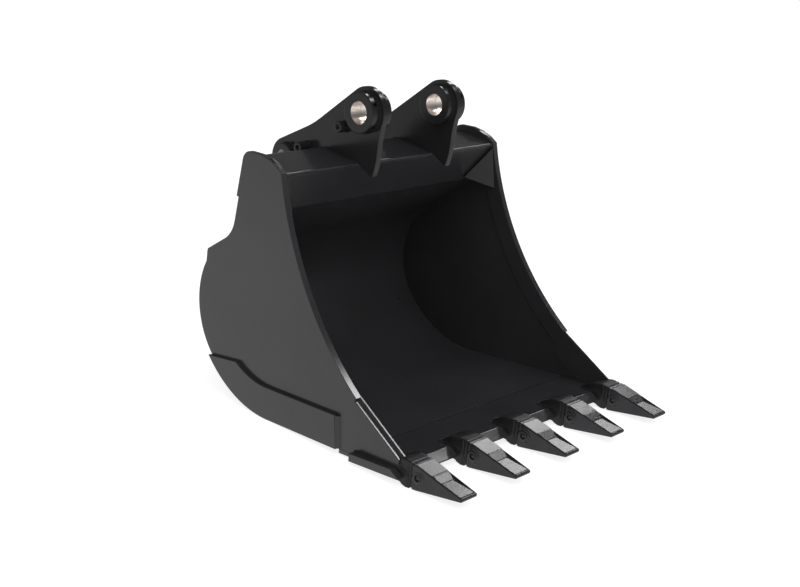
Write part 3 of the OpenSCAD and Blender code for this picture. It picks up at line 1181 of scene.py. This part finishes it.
@dataclass(frozen=True)
class Hitch:
    """Two ears with bosses, bushes and the keeper collars."""

    top: TopBox = TOP
    ear_x: float = 197.0
    ear_t: float = 25.0
    head_r: float = 92.0
    bend: Spot = (275.0, -85.0)
    end_c: Spot = (424.0, -246.0)
    end_r: float = 81.0
    stick: PinLine = PinLine("stick", (0.0, 0.0), (92.0, -65.0), (151.0, 247.0), 40.0, 50.0, 75.0)
    link: PinLine = PinLine("link", (410.0, -241.0), (304.0, -178.0), (155.0, 240.0), 32.0, 42.0, 60.0)
    skin_run: float = 84.0
    collar_r: float = 21.0
    collar_hole_r: float = 8.0
    collar_len: float = 50.0
    bolt_r: float = 9.0

    @property
    def inner_x(self) -> float:
        """Inside face of an ear."""
        return self.ear_x - self.ear_t / 2

    @property
    def outer_x(self) -> float:
        """Outside face of an ear."""
        return self.ear_x + self.ear_t / 2

    @property
    def pins(self) -> tuple[PinLine, PinLine]:
        """Both pins' lines."""
        return self.stick, self.link

    def ear_outline(self) -> Array:
        """Outline of an ear plate, from its head round the link end to its tail."""
        top = self.top
        head = arc(self.stick.centre, self.head_r, 205, 55, 48)
        end = arc(self.end_c, self.end_r, 65, -80, 48)
        foot = [
            [348, -392], top.skin_step + top.flange_down * self.skin_run, top.skin_step,
            top.flange_foot,
        ]
        rim = np.concatenate([
            head, self._bend(head[-1], np.array(self.bend), end[0]), end, foot,
            arc(top.bend_c, top.bend_r, top.flange_angle, top.bend_top, 8),
            [top.front],
        ])
        tail = eased(np.array([[28, -192], [-26, -222], [-46, -237], [-58, -203],
                               [-67, -165], [-71, -95], [-83.4, -38.9]]),
                     [0.1, 12, 9, 10, 30, 30, 1], 4)
        return np.concatenate([rim, tail[5:-5]])

    @staticmethod
    def _bend(before: Array, corner: Array, after: Array, reach: float = 45.0) -> Array:
        """Rounded bend in place of the corner between two straight edges."""
        start, end = (corner + unit(way - corner) * reach for way in (before, after))
        t = np.linspace(0, 1, 13)[:, None]
        return (1 - t) ** 2 * start + 2 * (1 - t) * t * corner + t**2 * end

    def build(self) -> None:
        """Builds both ears and what is on them."""
        for side in Side:
            self._ear(side)
            self._bosses(side)
            self._bushes(side)
            self._collars(side)
            self._welds(side)

    def _ear(self, side: Side) -> None:
        """One ear plate with its two bores."""
        solid = Solid()
        holes = [arc(pin.centre, pin.bush_r, 0, 360, 72)[:-1] for pin in self.pins]
        solid.plate(self.ear_outline(), self.inner_x, self.outer_x, sided(side), 2.5, holes)
        solid.finish(f"ear_plate_{side.word}", HITCH_PAINT, "hitch_paint", [f"ear_{side.word}"])

    @staticmethod
    def _boss_section(x0: float, x1: float, pin: PinLine, face: int) -> Array:
        """Section of a boss with eased corners and a thin lip over its bush.

        Args:
            x0: lowest x.
            x1: highest x.
            pin: the pin that the boss is for.
            face: which end carries the lip, -1 for x0 and 1 for x1.

        Returns:
            Closed outline of x and radius.
        """
        step, inner, hole = 3.0, pin.bore_r + 1.5, pin.bush_r - 0.5
        section = np.array([
            [x0, hole], [x1 - step, hole], [x1 - step, inner], [x1, inner], [x1, pin.boss_r],
            [x0, pin.boss_r],
        ])
        if face < 0:
            section = section * [-1.0, 1.0] + [x0 + x1, 0.0]
        return eased(section, [0.2, 0.2, 0.2, 1.0, 4.0, 1.0], 5)

    def _bosses(self, side: Side) -> None:
        """Four bosses; the outside stick boss has two cross holes."""
        for pin in self.pins:
            low, high = pin.span
            for part, x0, x1, face in (
                ("inner", low, self.inner_x + 1, -1), ("outer", self.outer_x - 1, high, 1)
            ):
                solid = Solid()
                solid.turned(self._boss_section(x0, x1, pin, face), pin.centre, sided(side))
                piece = solid.finish(
                    f"{pin.name}_{part}_ring_{side.word}", HITCH_PAINT, "hitch_paint",
                    [f"{pin.name}_{part}_boss_{side.word}"],
                )
                if (pin, part) == (self.stick, "outer"):
                    self._drill(piece, side)

    def _drill(self, piece: bpy.types.Object, side: Side) -> None:
        """Cuts the two cross holes in an outside stick boss."""
        x = (self.outer_x + self.stick.span[1]) / 2 * side.value
        for angle in (149, 217):
            way = heading(angle)
            mesh = bpy.data.meshes.new("drill")
            work = bmesh.new()
            bmesh.ops.create_cone(
                work, cap_ends=True, segments=32, radius1=self.bolt_r * MM,
                radius2=self.bolt_r * MM, depth=40 * MM,
            )
            aim = Vector((0, *way)).to_track_quat("Z", "Y").to_matrix().to_4x4()
            spot = Vector((x, *(way * (self.stick.boss_r + 2)))) * MM
            work.transform(Matrix.Translation(spot) @ aim)
            work.to_mesh(mesh)
            work.free()
            cutter = bpy.data.objects.new("drill", mesh)
            bpy.context.scene.collection.objects.link(cutter)
            cut = piece.modifiers.new("drill", "BOOLEAN")
            cut.operation = "DIFFERENCE"
            cut.object = cutter
            cut.solver = "EXACT"
            piece.modifiers.move(len(piece.modifiers) - 1, 0)
            graph = bpy.context.evaluated_depsgraph_get()
            drilled = bpy.data.meshes.new_from_object(piece.evaluated_get(graph))
            drilled.name = piece.name
            piece.modifiers.remove(cut)
            piece.data = drilled
            bpy.data.objects.remove(cutter)
            bpy.data.meshes.remove(mesh)

    def _bushes(self, side: Side) -> None:
        """Bushes with a chamfered mouth and a grease groove in the bore."""
        mouth, deep, held_back = 2.5, 2.0, 3.0
        for pin in self.pins:
            bore, out = pin.bore_r, pin.bush_r
            middle, x0, x1 = sum(pin.span) / 2, pin.span[0] + held_back, pin.span[1] - held_back
            section = np.array([
                [x0, bore + mouth], [x0 + mouth, bore], [middle - 4, bore],
                [middle - 2.5, bore + deep], [middle + 2.5, bore + deep], [middle + 4, bore],
                [x1 - mouth, bore], [x1, bore + mouth],
                [x1, out - 1], [x1 - 1, out], [x0 + 1, out], [x0, out - 1],
            ])
            solid = Solid()
            solid.turned(eased(section, 0.6, 2), pin.centre, sided(side))
            solid.finish(
                f"{pin.name}_bore_bush_{side.word}", BUSH_METAL, "bush_metal",
                [f"{pin.name}_bush_{side.word}"], sharp=30.0,
            )

    def _collars(self, side: Side) -> None:
        """Keeper collars with a threaded hole."""
        hole, half_pitch, thread_depth, mouth, ease = self.collar_hole_r, 1.25, 1.1, 2.5, 3
        x0, x1 = self.outer_x - 1, self.outer_x + self.collar_len
        turns = np.arange(x0 + 2, x1 - 3, half_pitch)
        depth = np.where(np.arange(len(turns)) % 2, hole + thread_depth, hole)
        section = np.concatenate([
            [[x0, hole]], np.stack([turns, depth], -1), [[x1 - mouth, hole], [x1, hole + mouth]],
            arc((x1 - ease, self.collar_r - ease), ease, 0, 90, 4), [[x0, self.collar_r]],
        ])
        for pin in self.pins:
            solid = Solid()
            solid.turned(section, pin.collar, sided(side), 56)
            solid.finish(
                f"{pin.name}_keeper_collar_{side.word}", HITCH_PAINT, "hitch_paint",
                [f"{pin.name}_collar_{side.word}"],
            )

    def _welds(self, side: Side) -> None:
        """Beads round bosses and collars and along each ear's foot."""
        top, mirror = self.top, sided(side)
        solid = Solid()
        faces = ((self.outer_x, 1), (self.inner_x, -1))
        rings = [(pin.centre, pin.boss_r, *face) for pin in self.pins for face in faces]
        rings += [(pin.collar, self.collar_r, *faces[0]) for pin in self.pins]
        for number, (centre, radius, x, facing) in enumerate(rings):
            path = mirror(at_x(x, arc(centre, radius, 0, 360, 90)))
            solid.bead(path, np.array([facing * side.value, 0.0, 0.0]), 3.0, seed=20 + number)
        deck = np.concatenate([
            [top.front], arc(top.bend_c, top.bend_r, top.bend_top, top.flange_angle, 10),
            [top.flange_foot],
        ])
        up = np.concatenate([
            [-top.deck_down], arc((0, 0), 1, top.bend_top, top.flange_angle, 10),
            [heading(top.flange_angle)],
        ])
        skin = np.array([top.skin_step, top.skin_step + top.flange_down * self.skin_run])
        for facing, x, seed in ((-1, self.inner_x, 30), (1, self.outer_x, 31)):
            lean = facing * 0.8
            solid.bead(mirror(at_x(x, deck)), mirror(at_x(lean, up)), 3.5, seed=seed)
            away = mirror(np.array([lean, 0.9, 0.3]))
            solid.bead(mirror(at_x(x, skin)), away, 3.5, seed=seed + 4)
        solid.finish(f"hitch_welds_{side.word}", BEAD_PAINT, "hitch_paint", even=False)


# ---------------------------------------------------------------- teeth


@dataclass(frozen=True)
class Tooth:
    """A cast digging tooth: a tapering socket with a scooped top near its tip.

    The band is a depth and how far forward it reaches from the rear, and the groove
    is where it starts and ends from the rear, and its depth.
    """

    rear_y: float = -684.0
    fall_y: float = -700.0
    tip_y: float = -899.0
    rear_top: float = -1017.0
    tip_top: float = -1066.0
    rear_bottom: float = -1109.0
    tip_bottom: float = -1078.0
    rear_half: float = 43.0
    tip_half: float = 39.0
    wall: float = 13.0
    pin: Spot = (-709.0, -1061.0)
    pin_room: float = 12.5
    ramp_y: float = -775.0
    scoop_y: Spot = (-800.0, -889.0)
    scoop_depth: Spot = (9.0, 1.2)
    rim: float = 5.0
    lobe_y: float = -698.0
    band: Spot = (1.5, 13.5)
    groove: tuple[float, float, float] = (12.0, 16.5, 4.0)
    crest_y: float = -766.0
    chamfer_y: float = -762.0
    pad_r: float = 21.0
    rib_r: float = 27.5

    def surface(self) -> Array:
        """The tooth's skin as a function of the way round it and the way along it.

        Each station is a rounded rectangle. Its half width, top and bottom run in
        straight lines from the socket to the tip, and its corners are quarter
        circles. The features are then added: the top is lifted or lowered by its
        band, groove, scoop and chamfers, and the sides by their rim, pad and rib.
        Both ends draw in along a quarter circle.

        Returns:
            Points, (stations, points round, 3).
        """
        ease_rear, ease_tip = 2.5, 4.5
        y = np.concatenate([
            self.rear_y - ease_rear * (1 - np.cos(np.linspace(0, np.pi / 2, 5))),
            np.linspace(self.rear_y - ease_rear, self.tip_y + ease_tip, 190)[1:],
            self.tip_y + ease_tip * (1 - np.sin(np.linspace(0, np.pi / 2, 6)))[1:],
        ])[:, None]
        along = np.clip((self.fall_y - y) / (self.fall_y - self.tip_y), 0, 1)
        top = self.rear_top + (self.tip_top - self.rear_top) * along
        low = np.clip((self.lobe_y - y) / (self.lobe_y - self.tip_y), 0, 1)
        bottom = self.rear_bottom + (self.tip_bottom - self.rear_bottom) * low
        half = self.rear_half + (self.tip_half - self.rear_half) * along
        rear = np.clip((self.rear_y - y) / ease_rear, 0, 1)
        front = np.clip((y - self.tip_y) / ease_tip, 0, 1)
        drawn = ease_rear * (1 - np.sqrt(1 - (1 - rear) ** 2)) + ease_tip * (
            1 - np.sqrt(1 - (1 - front) ** 2)
        )
        half, top, bottom = half - drawn, top - drawn, bottom + drawn
        corner = np.minimum(4.0 - 1.5 * along, (top - bottom) * 0.45)
        across, height, out_x, out_z, face = self._round_section()
        x = across * (half - corner) + out_x * corner
        z = (top + bottom) / 2 + height * ((top - bottom) / 2 - corner) + out_z * corner
        keep = rear * front
        z = z + np.where(out_z > 0, self._top_height(x, y, half) * keep, 0.0)
        lobe = 2.0 * smooth((y - (self.rear_y - 13)) / 4)
        z = z - np.where(face == 3, lobe * keep, 0.0) * (z < self.rear_bottom + 30)
        z = np.maximum(z, self.rear_bottom - 0.9)
        reach = self._side_height(y, z) * keep
        x = x + np.where(face == 2, np.sign(across) * reach, 0.0)
        return np.stack([x, np.broadcast_to(y, x.shape), z], -1)

    @staticmethod
    def _round_section() -> tuple[Array, Array, Array, Array, Array]:
        """A rounded rectangle's factors: centre x and z, corner x and z, and face.

        Returns:
            Rows of the same length. The face is 1 on top, 2 on a side, 3 below
            and 0 on a corner.
        """
        turn = np.linspace(0, np.pi / 2, 6)[1:-1]
        wide, tall = np.linspace(-1, 1, 71), np.linspace(1, -1, 66)
        one_w, one_t, one_c = np.ones_like(wide), np.ones_like(tall), np.ones_like(turn)
        zero_w, zero_t, zero_c = 0 * one_w, 0 * one_t, 0 * one_c
        pieces = [
            (wide, one_w, zero_w, one_w, one_w),
            (one_c, one_c, np.sin(turn), np.cos(turn), zero_c),
            (one_t, tall, one_t, zero_t, 2 * one_t),
            (one_c, -one_c, np.cos(turn), -np.sin(turn), zero_c),
            (-wide, -one_w, zero_w, -one_w, 3 * one_w),
            (-one_c, -one_c, -np.sin(turn), -np.cos(turn), zero_c),
            (-one_t, -tall, -one_t, zero_t, 2 * one_t),
            (-one_c, one_c, -np.cos(turn), np.sin(turn), zero_c),
        ]
        rows = [np.concatenate(row)[None] for row in zip(*pieces)]
        return rows[0], rows[1], rows[2], rows[3], rows[4]

    def _rim(self, y: Array) -> Array:
        """Height of the raised rim round the socket's mouth."""
        return 1.6 * smooth((y - (self.rear_y - 11)) / 3)

    def _top_height(self, x: Array, y: Array, half: Array) -> Array:
        """Band and groove at the rear, and the scoop with chamfers beside it."""
        back = self.rear_y - y
        (fall, band_end), (start, end, depth) = self.band, self.groove
        band = -fall * np.clip(back / 12, 0, 1) * smooth((band_end - back) / 1.5)
        groove = -depth * smooth((back - start) / 1.4) * smooth((end - back) / 1.4)
        crest = 0.9 * smooth((self.crest_y - y) / 4) * smooth((y - self.ramp_y) / 2.5)
        (deep_y, end_y), (deep, shallow) = self.scoop_y, self.scoop_depth
        floor = np.interp(
            -y,
            [-self.ramp_y, -deep_y, 2 - deep_y, 4 - deep_y, -end_y, 5 - end_y],
            [0, deep, deep - 2.2, deep - 0.4, shallow, 0],
        )
        inside = smooth((half - self.rim - np.abs(x)) / 2.2)
        chamfer = np.clip(np.abs(x) - (half - self.rim), 0, self.rim) * 0.75
        chamfer = chamfer * smooth((self.chamfer_y - y) / 14)
        return band + groove + crest * inside - floor * inside - chamfer

    def _side_height(self, y: Array, z: Array) -> Array:
        """Rim, the pad round the lock pin's hole and the curved rib before it."""
        dy, dz = y - self.pin[0], z - self.pin[1]
        away = np.hypot(dy, dz)
        pad = 1.4 * smooth((self.pad_r - away) / 2)
        hole = -6.0 * smooth((self.pin_room + 1.5 - away) / 1.5)
        rib = 1.8 * np.exp(-(((away - self.rib_r) / 2.2) ** 2)) * smooth((-dy - 6) / 8)
        return self._rim(y) + pad + hole + rib

    def build(self, number: int, x: float) -> None:
        """Builds the tooth of a number at x, with its socket's mouth closed in."""
        skin = self.surface()
        rear = skin[0]
        middle = np.array([0.0, 0.0, rear[:, 2].mean()])
        shrink = (self.rear_half - self.wall) / self.rear_half
        lip = (rear - middle) * np.array([shrink, 1.0, 0.82]) + middle
        deep = lip + np.array([0.0, -12.0, 0.0])
        tip = skin[-1]
        centre = tip.mean(0)
        nose = centre + (tip - centre) * np.array([0.9, 1.0, 0.6])
        rings = np.concatenate([deep[None], lip[None], skin, nose[None]])
        solid = Solid()
        solid.tube(rings + np.array([x, 0.0, 0.0]))
        solid.finish(
            f"tooth_casting_{number}", TOOTH_PAINT, "tooth_casting", [f"tooth_{number}"],
            sharp=50.0, even=False,
        )


@dataclass(frozen=True)
class Adapter:
    """A cast adapter that straddles the lip and carries a tooth."""

    lines: ShellLines = LINES
    rear_y: float = -546.0
    front_y: float = -680.0
    groove_y: Spot = (-662.0, -671.0)
    weld_y: Spot = (-604.0, -560.0)

    def _stations(self) -> dict[str, Array]:
        """Sizes of the upper body at stations along Y, read off straight runs."""
        lip, rear, front = self.lines.lip_top, self.rear_y, self.front_y
        keys = {
            "top": ([rear, -552, -572, -596, -612, -632, -650, -676, front],
                    [lip(rear) + 1, -1056, -1041.5, -1028, -1021.5, -1016.5, -1014, -1015.5, -1018]),
            "spine": ([rear, -572, -612, -650, -676, front], [24, 35, 41.5, 42.5, 42.5, 40]),
            "base": ([rear, -560, -585, -645, -670, -676, front], [28, 42, 48, 48, 46, 43, 40]),
            "low": ([rear, -598, -612, -630, -642, -664, -676, front],
                    [lip(rear) - 4, lip(-598) - 4, -1074, -1089, -1102, -1109.5, -1108, -1104]),
            "shelf": ([rear, -560, -585, -640, -660, -672, front],
                      [lip(rear) - 1, -1057.5, -1053, -1050, -1058, -1078, -1085]),
            "neck": ([rear, -560, -585, -640, -672, front],
                     [lip(rear) + 0.5, -1054, -1043, -1030, -1040, -1060]),
        }
        y = np.linspace(self.rear_y, self.front_y, 110)
        made = {name: np.interp(-y, -np.array(at), size)[:, None] for name, (at, size) in keys.items()}
        made["y"] = y[:, None]
        return made

    def upper_body(self) -> Array:
        """Skin of the upper body as rings of a bell-shaped section.

        From the middle of the underside a ring runs out to the base, up the
        base's side to the shelf, in along a cove (a quarter of an ellipse) to the
        neck, up the spine, round its corner and in to the middle of the top, and
        the other half is its mirror image.

        Returns:
            Points, (stations, points round, 3).
        """
        s = self._stations()
        low, base, spine, top = s["low"], s["base"], s["spine"], s["top"]
        shelf = np.clip(s["shelf"], low + 1, top - 1.5)
        neck = np.clip(s["neck"], shelf + 0.3, top - 0.6)
        corner = np.minimum(5.0, (top - neck) * 0.9)
        t = np.linspace(0, 1, 12)[None]
        quarter = t * np.pi / 2
        one = np.ones_like(t)
        xs = [
            base * t[:, 1:], base * one[:, 1:], base - (base - spine) * np.sin(quarter[:, 1:]),
            spine * one[:, 1:], spine - corner + corner * np.cos(quarter[:, 1:]),
            (spine - corner) * (1 - t[:, 1:]),
        ]
        zs = [
            low * one[:, 1:], low + (shelf - low) * t[:, 1:],
            neck - (neck - shelf) * np.cos(quarter[:, 1:]),
            neck + (top - corner - neck) * t[:, 1:],
            top - corner + corner * np.sin(quarter[:, 1:]), top * one[:, 1:],
        ]
        x, z = np.concatenate(xs, 1), np.concatenate(zs, 1)
        x = np.concatenate([x, -x[:, -2::-1], 0 * base], 1)
        z = np.concatenate([z, z[:, -2::-1], low], 1)
        y = np.broadcast_to(s["y"], x.shape)
        start, end = self.groove_y
        groove = 3.0 * smooth((start - y) / 3) * smooth((y - end) / 3)
        side = np.abs(x) > spine * 0.8
        x = x - np.sign(x) * np.where(side, groove, 0.0)
        return np.stack([x, y, z], -1)

    def lower_leg(self) -> Array:
        """Skin of the leg under the lip: rounded slabs that thicken to the front."""
        y = np.linspace(-576, -662, 40)[:, None]
        top = self.lines.lip_bottom(y) + 4
        bottom = np.interp(-y, [576, 580, 642, 662], [-1090, -1096, -1104, -1108])
        half = np.interp(-y, [576, 584, 662], [38, 46, 46])
        turn = np.linspace(0, 2 * np.pi, 48, endpoint=False)[None]
        flat = np.sign(np.cos(turn)) * np.abs(np.cos(turn)) ** 0.35
        tall = np.sign(np.sin(turn)) * np.abs(np.sin(turn)) ** 0.35
        x = half * flat
        z = (top + bottom) / 2 + (top - bottom) / 2 * tall
        return np.stack([x, np.broadcast_to(y, x.shape), z], -1)

    def build(self, number: int, x: float) -> None:
        """Builds the adapter of a number at x, with the weld along its base."""
        shift = np.array([x, 0.0, 0.0])
        solid = Solid()
        for skin in (self.upper_body(), self.lower_leg()):
            solid.tube(skin + shift)
        solid.finish(
            f"adapter_casting_{number}", ADAPTER_PAINT, "adapter_casting",
            [f"adapter_{number}"], sharp=50.0, even=False,
        )
        solid = Solid()
        run = np.linspace(*self.weld_y, 12)
        wide = np.interp(-run, [560, 585, 604], [42, 48, 48])
        left = np.stack([-wide, run, self.lines.lip_top(run)], -1)
        turn = np.linspace(np.pi, 0, 24)
        level = np.full_like(turn, self.lines.lip_top(-550))
        tail = np.stack([40 * np.cos(turn), -558 + 13 * np.sin(turn), level], -1)
        right = (left * np.array([-1.0, 1.0, 1.0]))[::-1]
        path = np.concatenate([left, tail, right]) + shift
        solid.bead(path, (0, 0, 1), 3.0, seed=40 + number)
        solid.finish(f"adapter_weld_{number}", BEAD_PAINT, "adapter_casting", even=False)


@dataclass(frozen=True)
class ToothRow:
    """The teeth, adapters, lock pins and retaining rings along the lip."""

    tooth: Tooth = Tooth()
    adapter: Adapter = Adapter()
    count: int = 5
    pitch: float = 275.0
    pin_r: float = 11.0

    def build(self) -> None:
        """Builds the row from left to right."""
        rings = Solid()
        half = self.tooth.rear_half
        for number in range(1, self.count + 1):
            x = (number - (self.count + 1) / 2) * self.pitch
            self.tooth.build(number, x)
            self.adapter.build(number, x)
            pin = Solid()
            end = half - 0.5
            profile = np.array([
                [end, 0.0], [end, 6.0], [end - 1.2, 7.8], [end - 7, 7.8], [end - 8, self.pin_r],
            ])
            section = np.concatenate([profile * [-1, 1], profile[::-1]]) + [x, 0.0]
            pin.turned(section, self.tooth.pin, as_is, 40)
            pin.finish(f"lock_pin_bar_{number}", PIN_PAINT, "pin_steel", [f"lock_pin_{number}"])
            for sign in (-1, 1):
                low, high = sorted((x + sign * (half - 5), x + sign * (half + 2.6)))
                hole = self.pin_r + 0.6
                ring = np.array([[low, hole], [high, hole], [high, hole + 5], [low, hole + 5]])
                rings.turned(eased(ring, 1.2, 4), self.tooth.pin, as_is, 48)
        rings.finish("pin_rings", TOOTH_PAINT, "tooth_casting", ["pin_retainers"])


# ---------------------------------------------------------------- studio


@dataclass(frozen=True)
class Window:
    """A soft bright patch of the studio's surroundings, by compass and height.

    Azimuth 0 is towards +Y and 90 towards +X, in degrees.
    """

    azimuth: float
    height: float
    reach: float
    soft: float
    power: float

    def direction(self) -> tuple[float, float, float]:
        """Unit vector towards the patch."""
        a, e = math.radians(self.azimuth), math.radians(self.height)
        return (math.sin(a) * math.cos(e), math.cos(a) * math.cos(e), math.sin(e))


@dataclass(frozen=True)
class Studio:
    """The pale floor, the soft surroundings and the camera.

    The bands are the heights, in degrees, over which the mirrored surroundings
    pass from their low glow to the level one and on to the high one.
    """

    floor_tone: float = 0.35
    floor_glow: float = 0.8
    backdrop: float = 1.0
    ambient: float = 0.42
    low_glow: float = 0.95
    level_glow: float = 0.35
    high_glow: float = 0.12
    level_band: Spot = (-14.0, -2.0)
    high_band: Spot = (6.0, 16.0)
    windows: tuple[Window, ...] = (
        Window(106.0, 51.0, 6.5, 2.5, 17.0),
        Window(64.5, 36.0, 4.0, 2.0, 12.0),
    )
    lamps: tuple[Window, ...] = (
        Window(-120.0, 40.0, 26.0, 14.0, 1.0),
        Window(180.0, 55.0, 25.0, 20.0, 1.2),
    )
    eye: tuple[float, float, float] = (-3460.8, -3253.2, 762.4)
    right: tuple[float, float, float] = (0.69408, -0.71742, 0.05961)
    up: tuple[float, float, float] = (0.17490, 0.24838, 0.95274)
    ahead: tuple[float, float, float] = (0.69833, 0.65085, -0.29787)
    lens: float = 57.94

    def build(self) -> None:
        """Sets up everything round the bucket."""
        self._floor()
        self._surroundings()
        self._camera()
        bpy.context.scene.view_settings.view_transform = "Standard"

    def _floor(self) -> None:
        """A wide disc just under the bucket."""
        low = CAD_BOX[0].z
        ring = arc((0, 0), 24.0, 0, 360, 96)[:-1]
        mesh = bpy.data.meshes.new("studio_floor")
        points = np.concatenate([ring, np.full((96, 1), low - 0.0003)], 1)
        mesh.from_pydata(points.tolist(), [], [list(range(96))])
        material = bpy.data.materials.new("studio_floor")
        material.use_nodes = True
        graph = Graph(material.node_tree)
        tone = self.floor_tone
        surface = graph.node(
            "ShaderNodeBsdfPrincipled", None,
            {"Base Color": (tone, tone, tone, 1.0), "Roughness": 0.9,
             "Specular IOR Level": 0.1, "Emission Color": (1.0, 1.0, 1.0, 1.0),
             "Emission Strength": self.floor_glow},
        )
        graph.node("ShaderNodeOutputMaterial", None, {"Surface": surface["BSDF"]})
        mesh.materials.append(material)
        floor = bpy.data.objects.new("studio_floor", mesh)
        bpy.context.scene.collection.objects.link(floor)
        floor.visible_glossy = False

    def _surroundings(self) -> None:
        """A white backdrop for the eye and softer light for the bucket."""
        world = bpy.data.worlds.new("studio")
        world.use_nodes = True
        bpy.context.scene.world = world
        graph = Graph(world.node_tree)
        way = graph.node("ShaderNodeTexCoord")["Generated"]
        rays = graph.node("ShaderNodeLightPath")
        seen, mirrored = rays["Is Camera Ray"], rays["Is Glossy Ray"]
        height = graph.node("ShaderNodeSeparateXYZ", None, {0: way})[2]
        level_up, high_up = (
            height.above(*(math.sin(math.radians(angle)) for angle in band))
            for band in (self.level_band, self.high_band)
        )
        ground = self.low_glow + level_up * (self.level_glow - self.low_glow)
        ground = ground + high_up * (self.high_glow - self.level_glow)
        shine = self._patches(graph, way, self.windows) + ground
        fill = self._patches(graph, way, self.lamps) + self.ambient
        light = mirrored * shine + (1 - mirrored) * fill
        level = seen * self.backdrop + (1 - seen) * light
        glow = graph.node(
            "ShaderNodeBackground", None, {"Color": (1.0, 1.0, 1.0, 1.0), "Strength": level}
        )
        graph.node("ShaderNodeOutputWorld", None, {"Surface": glow["Background"]})

    @staticmethod
    def _patches(graph: Graph, way: Value, windows: Sequence[Window]) -> Value | float:
        """Brightness that the windows add along a direction."""
        light: Value | float = 0.0
        for window in windows:
            toward = graph.node(
                "ShaderNodeVectorMath", {"operation": "DOT_PRODUCT"},
                {0: way, 1: window.direction()},
            )["Value"]
            edge = math.cos(math.radians(window.reach + window.soft))
            core = math.cos(math.radians(window.reach))
            light = toward.above(edge, core) * window.power + light
        return light

    def _camera(self) -> None:
        """The camera, from its eye point and three axes."""
        data = bpy.data.cameras.new("camera")
        data.sensor_width = 36.0
        data.lens = self.lens
        data.clip_end = 100.0
        camera = bpy.data.objects.new("camera", data)
        bpy.context.scene.collection.objects.link(camera)
        turn = Matrix([self.right, self.up, [-a for a in self.ahead]]).transposed()
        camera.matrix_world = Matrix.Translation(Vector(self.eye) * MM) @ turn.to_4x4()
        bpy.context.scene.camera = camera


def main() -> None:
    """Builds the bucket and the studio, in order."""
    logging.basicConfig(level=logging.INFO, format="%(name)s: %(message)s")
    for part in (Shell(), CuttingEdges(), Hitch(), ToothRow(), Studio()):
        log.info("building %s", type(part).__name__)
        part.build()


if __name__ == "__main__":
    main()
